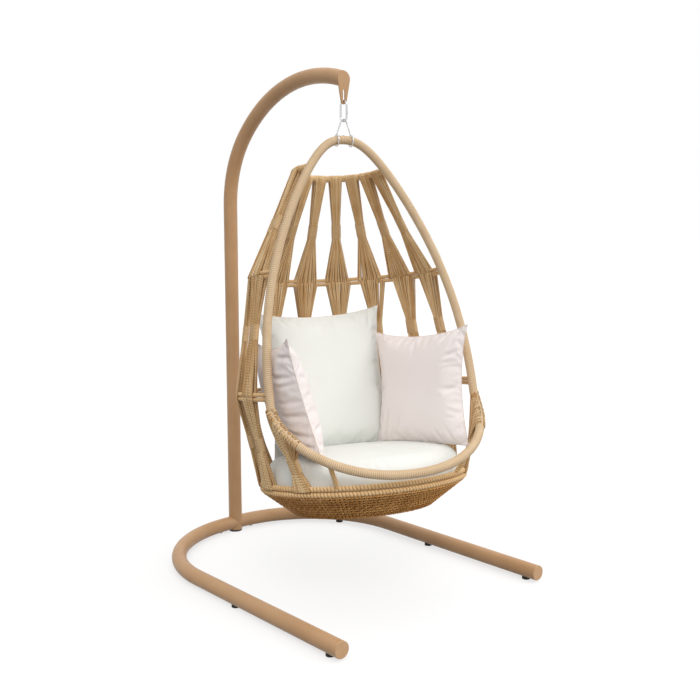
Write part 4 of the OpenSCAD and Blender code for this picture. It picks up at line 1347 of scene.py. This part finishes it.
def blown(piece: Object, grow: float, swell: float, pinned: Array | None = None) -> Array:
    """Blows a closed cover up as cloth, and leaves its mesh as it was.

    Args:
        piece: the cover.
        grow: share by which the cloth is cut larger than the cover.
        swell: the furthest that a point moves: a move of x is cut to swell tanh(x / swell).
        pinned: numbers of the points that stay.

    Returns:
        (points, 3), where the points end.
    """
    start = read_points(piece.data)
    cloth = piece.modifiers.new("fill", "CLOTH")
    for key, value in CLOTH_SETTINGS.items():
        setattr(cloth.settings, key, value)
    cloth.settings.shrink_min = -grow
    cloth.settings.effector_weights.gravity = 0.0
    cloth.collision_settings.use_collision = False
    if pinned is not None:
        piece.vertex_groups.new(name="seam").add(pinned.tolist(), 1.0, "REPLACE")
        cloth.settings.vertex_group_mass = "seam"
    scene = bpy.context.scene
    for step in range(1, CLOTH_FRAMES + 1):
        scene.frame_set(step)
    seen = piece.evaluated_get(bpy.context.evaluated_depsgraph_get())
    move = read_points(seen.data) - start
    piece.modifiers.remove(cloth)
    piece.vertex_groups.clear()
    scene.frame_set(1)
    size = np.linalg.norm(move, axis=1, keepdims=True) + 1e-9
    return start + move / size * swell * np.tanh(size / swell)


def covered(piece: Object, points: Array, finish: Finish, node: str, fill: float) -> None:
    """Finishes a padded cover.

    Args:
        piece: the cover.
        points: its points in the row frame.
        finish: its cloth.
        node: the CAD node it stands for.
        fill: how full it is; not used.
    """
    piece.data.vertices.foreach_set("co", points.astype(np.float32).ravel())
    piece.data.update()
    smooth = piece.modifiers.new("smooth", "SUBSURF")
    smooth.levels = smooth.render_levels = 1
    settle(piece, finish, "egg", Slot.CLOTH, node)


@dataclass(frozen=True)
class Crease:
    """A fold pressed into a pillow's face: both ends across and up, depth in mm, breadth, and the face."""

    u0: float
    v0: float
    u1: float
    v1: float
    depth: float
    breadth: float
    side: int

    def pressed(self, u: Array, v: Array) -> Array:
        """Depth at (u, v), fading to nothing at both ends of the fold.

        With g the distance over the breadth it is depth times (exp(-g^2) - 0.35 exp(-(g - 2)^2)).

        Args:
            u: shares across the face.
            v: shares up the face.

        Returns:
            The depths in metres.
        """
        a, b = np.array([self.u0, self.v0]), np.array([self.u1, self.v1])
        p = np.stack([u, v], -1)
        share = np.clip(((p - a) @ (b - a)) / np.sum((b - a) ** 2), 0, 1)
        gap = np.linalg.norm(p - (a + share[..., None] * (b - a)), axis=-1) / self.breadth
        fold = np.exp(-(gap**2)) - 0.35 * np.exp(-((gap - 2) ** 2))
        return self.depth * MM * fold * np.sin(np.pi * np.clip(share, 0.02, 0.98)) ** 0.5


@dataclass
class Pillow:
    """A loose pillow: its size, how far its sides are drawn in, its place and angles, its folds."""

    node: str
    finish: Cloth
    width: float
    height: float
    thickness: float
    pull: float
    centre: tuple[float, float, float]
    turn: float
    tip: float
    roll: float = 0.0
    steps: int = 84
    fill: float = 0.7
    foot: float = 0.4
    ear: float = 7 * MM
    folds: tuple[tuple[float, ...], ...] = ()
    slack: float = 0.86
    edge: float = 1.2 * MM
    fullness: float = 2.6
    roundness: float = 0.55
    grow: float = 0.035
    swell: float = 12 * MM
    welt: float = 1.4 * MM
    welt_steps: int = 420
    welt_sides: int = 7

    def place(self, points: Array) -> Array:
        """Points of the pillow's frame in the row frame: tipped, rolled, turned, moved, placed on the egg."""
        placed = turned(turned(turned(points, "X", self.tip), "Y", self.roll), "Z", self.turn)
        return EGG.place(placed + np.array(self.centre))

    def grid(self) -> tuple[Array, Array]:
        """Shares across and up, closer together towards the edges: sin of evenly spaced angles."""
        s = np.sin(np.linspace(-np.pi / 2, np.pi / 2, self.steps + 1))
        return np.meshgrid(s, s, indexing="ij")

    def face(self, side: float) -> Array:
        """One face of the pillow.

        Across, x is half the width times u times (1 - pull (1 - v^2)), and z is the same for the height, with
        a smaller pull on the foot. The corners reach out by the ear times (u v)^8 on top. The half thickness
        is its middle's times ((1 - |u|^2.6)(1 - |v|^2.6))^0.55, on a sewn edge.

        Args:
            side: +1 or -1.

        Returns:
            (points, 3).
        """
        u, v = self.grid()
        middle = self.thickness / 2 * self.slack
        across, up = (1 - np.abs(share) ** self.fullness for share in (u, v))
        crown = np.maximum(across * up, 0) ** self.roundness
        pull = self.pull * (self.foot + (1 - self.foot) * (1 + v) / 2)
        ear = self.ear * (u * v) ** 8 * (1 + v) / 2
        x = self.width / 2 * u * (1 - self.pull * (1 - v * v)) + np.sign(u) * ear
        z = self.height / 2 * v * (1 - pull * (1 - u * u)) + ear
        return np.stack([x, side * (self.edge + (middle - self.edge) * crown), z], -1).reshape(-1, 3)

    def border(self) -> Array:
        """Numbers of the points round one face, in order."""
        n = self.steps + 1
        i = np.arange(n - 1)
        return np.concatenate([i * n, (n - 1) * n + i, (n - 1 - i) * n + n - 1, n - 1 - i])

    def skin(self) -> Skin:
        """The closed pillow: two faces and the strip between their borders."""
        n = self.steps + 1
        i, j = np.meshgrid(np.arange(n - 1), np.arange(n - 1), indexing="ij")
        a = (i * n + j).ravel()
        quads = np.stack([a, a + n, a + n + 1, a + 1], -1)
        border = self.border()
        ahead = np.roll(border, -1)
        strip = np.stack([border, border + n * n, ahead + n * n, ahead], -1)
        faces = [quads, quads[:, ::-1] + n * n, strip]
        points = np.concatenate([self.face(-1.0), self.face(1.0)])
        return Skin(points, faces, np.zeros((4 * sum(map(len, faces)), 2)))

    def build(self) -> None:
        """Builds the pillow, blown up as cloth held at its seam and then creased, and the seam's welt."""
        name = self.node + "_cover"
        piece = self.skin().object(name)
        border, face = self.border(), (self.steps + 1) ** 2
        points = blown(piece, self.grow, self.swell, np.concatenate([border, border + face]))
        u, v = self.grid()
        for crease in (Crease(*row) for row in self.folds):
            part = slice(0, face) if crease.side < 0 else slice(face, 2 * face)
            points[part, 1] -= crease.side * crease.pressed(u.ravel(), v.ravel())
        covered(piece, self.place(points), self.finish, self.node, self.fill)
        seam = evenly((points[border] + points[border + face]) / 2, self.welt_steps, True)
        welt = swept(seam[None], self.welt, self.welt_sides, BACK, True)
        welt.points = self.place(welt.points)
        settle(welt.object(name + "_welt"), SEAM, "egg", Slot.CLOTH)


BACK_FOLDS = (
    (0.99, -0.90, 0.80, -0.45, 6, 0.035, -1), (0.98, -0.55, 0.84, -0.20, 4, 0.03, -1),
    (0.70, 0.99, 0.62, 0.76, 6, 0.03, -1), (0.46, 0.98, 0.52, 0.80, 4, 0.025, -1),
    (0.84, 0.98, 0.74, 0.70, 5, 0.025, -1), (-0.70, 0.98, -0.62, 0.82, 4, 0.025, -1),
    (-0.98, -0.70, -0.80, -0.60, 5, 0.03, -1), (-0.20, -0.99, -0.16, -0.84, 4, 0.03, -1),
    (0.30, -0.99, 0.36, -0.82, 4, 0.03, -1), (0.96, 0.55, 0.80, 0.50, 4, 0.03, -1))
LEFT_FOLDS = (
    (-1.0, 0.42, -0.45, 0.52, 9, 0.035, 1), (-1.0, 0.30, -0.60, 0.34, 6, 0.025, 1),
    (-1.0, 0.02, -0.55, 0.06, 6, 0.03, 1), (-1.0, -0.22, -0.50, -0.14, 7, 0.03, 1),
    (-1.0, -0.55, -0.45, -0.42, 9, 0.04, 1), (-1.0, -0.72, -0.70, -0.66, 6, 0.025, 1),
    (-1.0, 0.40, -0.80, 0.36, 5, 0.03, -1), (-1.0, -0.50, -0.72, -0.44, 7, 0.035, -1),
    (-1.0, -0.70, -0.78, -0.74, 5, 0.03, -1), (-1.0, 0.72, -0.72, 0.80, 7, 0.03, 1))
RIGHT_FOLDS = (
    (-0.80, -0.99, -0.58, -0.42, 7, 0.04, -1), (-0.62, -0.98, -0.30, -0.55, 6, 0.035, -1),
    (-0.35, -0.99, -0.10, -0.72, 5, 0.03, -1), (0.99, 0.62, 0.72, 0.50, 6, 0.03, -1),
    (0.99, 0.42, 0.66, 0.40, 4, 0.025, -1), (0.99, 0.02, 0.76, -0.10, 6, 0.03, -1),
    (0.98, -0.45, 0.78, -0.40, 4, 0.03, -1), (0.76, 0.98, 0.60, 0.78, 6, 0.03, -1),
    (0.90, 0.97, 0.78, 0.66, 5, 0.025, -1), (0.55, -0.99, 0.48, -0.76, 5, 0.03, -1),
    (0.78, -0.98, 0.70, -0.70, 5, 0.03, -1), (-0.98, 0.30, -0.82, 0.22, 4, 0.03, -1))
PILLOWS = (
    Pillow("back_cushion", IVORY, 530 * MM, 570 * MM, 165 * MM, 0.09,
           (-18 * MM, 250 * MM, SEAT_TOP + 257 * MM), 0.0, -6.0, -1.5,
           steps=92, fill=0.75, foot=0.6, folds=BACK_FOLDS),
    Pillow("left_pillow", BLUSH, 450 * MM, 450 * MM, 140 * MM, 0.12,
           (-296 * MM, -14 * MM, SEAT_TOP + 201 * MM), 83.0, -13.5, foot=0.45, folds=LEFT_FOLDS),
    Pillow("right_pillow", BLUSH, 450 * MM, 450 * MM, 140 * MM, 0.12,
           (266.5 * MM, -4 * MM, SEAT_TOP + 211.5 * MM), -68.0, -4.0, foot=0.25, folds=RIGHT_FOLDS))


@dataclass
class SeatCushion:
    """The round seat cushion that fills the rim: domed on top, drawn in where it sits in the basket."""

    rim_under: float = -1306.45 * MM
    sink: float = 6 * MM
    columns: int = 180
    smallest: float = 2 * MM
    voxel: float = 6 * MM
    grow: float = 0.01
    swell: float = 5 * MM
    fill: float = 0.8

    def levels(self) -> Array:
        """Levels of the cushion from its crown to its underside: height, and how far it is drawn in."""
        drop = np.array([0.0, 1.6, 5, 10, 17, 27, 40, 54, 68, 84, 100, 118, 131]) * MM
        inset = np.array([388, 262, 160, 105, 68, 40, 24, 15, 10.5, 8.5, 7.5, 7.5, 8.5]) * MM
        low = self.rim_under - self.sink
        under = [[self.rim_under - 3 * MM, 12 * MM], [low, 60 * MM], [low, 200 * MM], [low, 320 * MM]]
        return np.concatenate([np.stack([SEAT_TOP - drop, inset], -1), np.array(under)])

    def skin(self) -> Skin:
        """The closed cushion: ellipses drawn in from the basket's wall, one for each level."""
        cols = self.columns
        levels = self.levels()
        f = np.clip((self.rim_under - levels[:, 0]) / (self.rim_under + EGG.floor_level), 0, 1)[:, None]
        a, b = (np.maximum(rim + (floor - rim) * f - EGG.half_weave * (1 + f) - levels[:, 1:], self.smallest)
                for rim, floor in ((EGG.rim.a, EGG.floor.a), (EGG.rim.b, EGG.floor.b)))
        points = Ellipse(a, b, EGG.floor.centre * f).point(360 * np.arange(cols) / cols, levels[:, :1])
        rows, grid_cols = grid_corners(len(levels), cols)
        quads = rows * cols + grid_cols % cols
        ends = [np.arange(cols)[None, ::-1], np.arange(cols)[None] + (len(levels) - 1) * cols]
        return Skin(points.reshape(-1, 3), [quads, *ends], np.zeros((quads.size + 2 * cols, 2)))

    def remesh(self, piece: Object) -> None:
        """Gives the cushion an even mesh of small squares, by a voxel remesh.

        Args:
            piece: the cushion.
        """
        even = piece.modifiers.new("even", "REMESH")
        even.mode, even.voxel_size, even.use_smooth_shade = "VOXEL", self.voxel, True
        seen = piece.evaluated_get(bpy.context.evaluated_depsgraph_get())
        mesh = bpy.data.meshes.new_from_object(seen)
        mesh.name = piece.name
        piece.modifiers.remove(even)
        piece.data = mesh
        mesh.polygons.foreach_set("use_smooth", np.ones(len(mesh.polygons), dtype=bool))

    def build(self) -> None:
        """Builds the cushion, remeshed and blown up a little as cloth."""
        piece = self.skin().object("seat_cushion_cover")
        self.remesh(piece)
        points = EGG.place(blown(piece, self.grow, self.swell))
        covered(piece, points, IVORY, "seat_cushion", self.fill)


# ---------- light, floor and camera ----------


@dataclass(frozen=True)
class Lamp:
    """A soft distant lamp: degrees round the object from its front, degrees above the floor, strength, the
    spread that softens its shadows, and its colour."""

    name: str
    azimuth: float
    height: float
    strength: float
    spread: float
    colour: Colour

    def build(self) -> None:
        """Adds the lamp, turned from straight down to its height and then round the object."""
        data = bpy.data.lights.new(self.name, "SUN")
        data.energy, data.angle, data.color = self.strength, math.radians(self.spread), self.colour
        lamp = bpy.data.objects.new(self.name, data)
        tilt = Matrix.Rotation(math.radians(90 - self.height), 4, "X")
        lamp.matrix_world = Matrix.Rotation(math.radians(self.azimuth), 4, "Z") @ tilt
        bpy.context.scene.collection.objects.link(lamp)


@dataclass(frozen=True)
class StudioFloor(Finish):
    """The floor's finish: it glows white to the camera and keeps the object's shadow."""

    grey: float = 0.32
    glow: float = 0.69

    def inputs(self, s: Sketch) -> Inputs:
        """A matt grey, and a white emission for the rays that show it."""
        return {"Base Color": (self.grey,) * 3, "Roughness": 0.9, "Specular IOR Level": 0.0,
                "Emission Color": (1.0, 1.0, 1.0), "Emission Strength": seen_share(s, self.glow)}


def seen_share(s: Sketch, high: float) -> Socket:
    """A strength that is high for camera, glossy and transmission rays and 0 for the rest.

    Args:
        s: the sketch it is drawn on.
        high: the strength.

    Returns:
        The strength's output.
    """
    rays = s.add("ShaderNodeLightPath").outputs
    every = s.math("MAXIMUM", rays["Is Camera Ray"], rays["Is Glossy Ray"])
    return s.ramp(s.math("MAXIMUM", every, rays["Is Transmission Ray"]), 0.0, 1.0, (0.0, high))


@dataclass
class Studio:
    """A pale floor, plain soft light and the camera."""

    floor_half: float = 30.0
    bright_side: tuple[float, float, float] = (0.35, -0.28, 0.90)
    sky_from: float = -0.35
    sky_light: tuple[float, float] = (0.16, 1.22)
    lamps: tuple[Lamp, ...] = (Lamp("key_lamp", -34.0, 42.0, 1.00, 30.0, (1.0, 0.995, 0.98)),
                               Lamp("side_lamp", 32.0, 32.0, 0.45, 25.0, (1.0, 1.0, 1.0)))
    eye: tuple[float, float, float] = (-2.4194, -2.8569, 1.3893)
    azimuth: float = -41.73
    elevation: float = 7.37
    lens: float = 48.41
    sensor: float = 36.0
    far: float = 200.0

    def floor(self) -> None:
        """A large pale floor."""
        corners = self.floor_half * np.array([[-1, -1, 0], [1, -1, 0], [1, 1, 0], [-1, 1, 0]], dtype=float)
        plane = Skin(corners, [np.array([[0, 1, 2, 3]])], np.zeros((4, 2))).object("studio_floor")
        plane.data.materials.append(StudioFloor("studio_floor_white").build())

    def sky(self) -> None:
        """A soft sky, plain white to the camera.

        On the object its light grows from the dark to the bright side with the cosine of the angle between
        the ray and the bright side's direction.
        """
        world = bpy.data.worlds.new("studio_sky")
        bpy.context.scene.world = world
        world.use_nodes = True
        s = Sketch(world.node_tree)
        way = s.add("ShaderNodeTexCoord").outputs["Generated"]
        bright = unit(np.array(self.bright_side)).tolist()
        towards = s.add("ShaderNodeVectorMath", {0: way, 1: bright}, operation="DOT_PRODUCT")
        soft = s.ramp(towards.outputs["Value"], self.sky_from, 1.0, self.sky_light)
        colour = s.mixed(seen_share(s, 1.0), soft, (1.0, 1.0, 1.0))
        light = s.add("ShaderNodeBackground", {"Color": colour, "Strength": 1.0})
        s.add("ShaderNodeOutputWorld", {"Surface": light.outputs["Background"]})

    def camera(self) -> None:
        """The camera: its axes follow from its azimuth and elevation, its place is the eye."""
        a, e = math.radians(self.azimuth), math.radians(self.elevation)
        back = np.array([math.sin(a) * math.cos(e), -math.cos(a) * math.cos(e), math.sin(e)])
        right = np.array([math.cos(a), math.sin(a), 0.0])
        data = bpy.data.cameras.new("studio_camera")
        data.lens, data.sensor_width, data.sensor_fit = self.lens, self.sensor, "HORIZONTAL"
        data.clip_end = self.far
        camera = bpy.data.objects.new("studio_camera", data)
        axes = np.eye(4)
        axes[:3] = np.stack([right, np.cross(back, right), back, self.eye], -1)
        camera.matrix_world = Matrix(axes.tolist())
        bpy.context.scene.collection.objects.link(camera)
        bpy.context.scene.camera = camera

    def build(self) -> None:
        """Sets up the whole studio."""
        bpy.context.scene.view_settings.view_transform = "Standard"
        self.camera()
        self.floor()
        self.sky()
        for lamp in self.lamps:
            lamp.build()


def main() -> None:
    """Builds the studio, the finishes and every sub-assembly in order."""
    logging.basicConfig(level=logging.INFO, format="%(name)s: %(message)s")
    Studio().build()
    MATERIALS.update({finish: finish.build() for finish in FINISHES})
    for part in (Stand(), Bail(), WoundRods(), Sheaves(), Basket(), SeatCushion(), *PILLOWS):
        part.build()


if __name__ == "__main__":
    main()
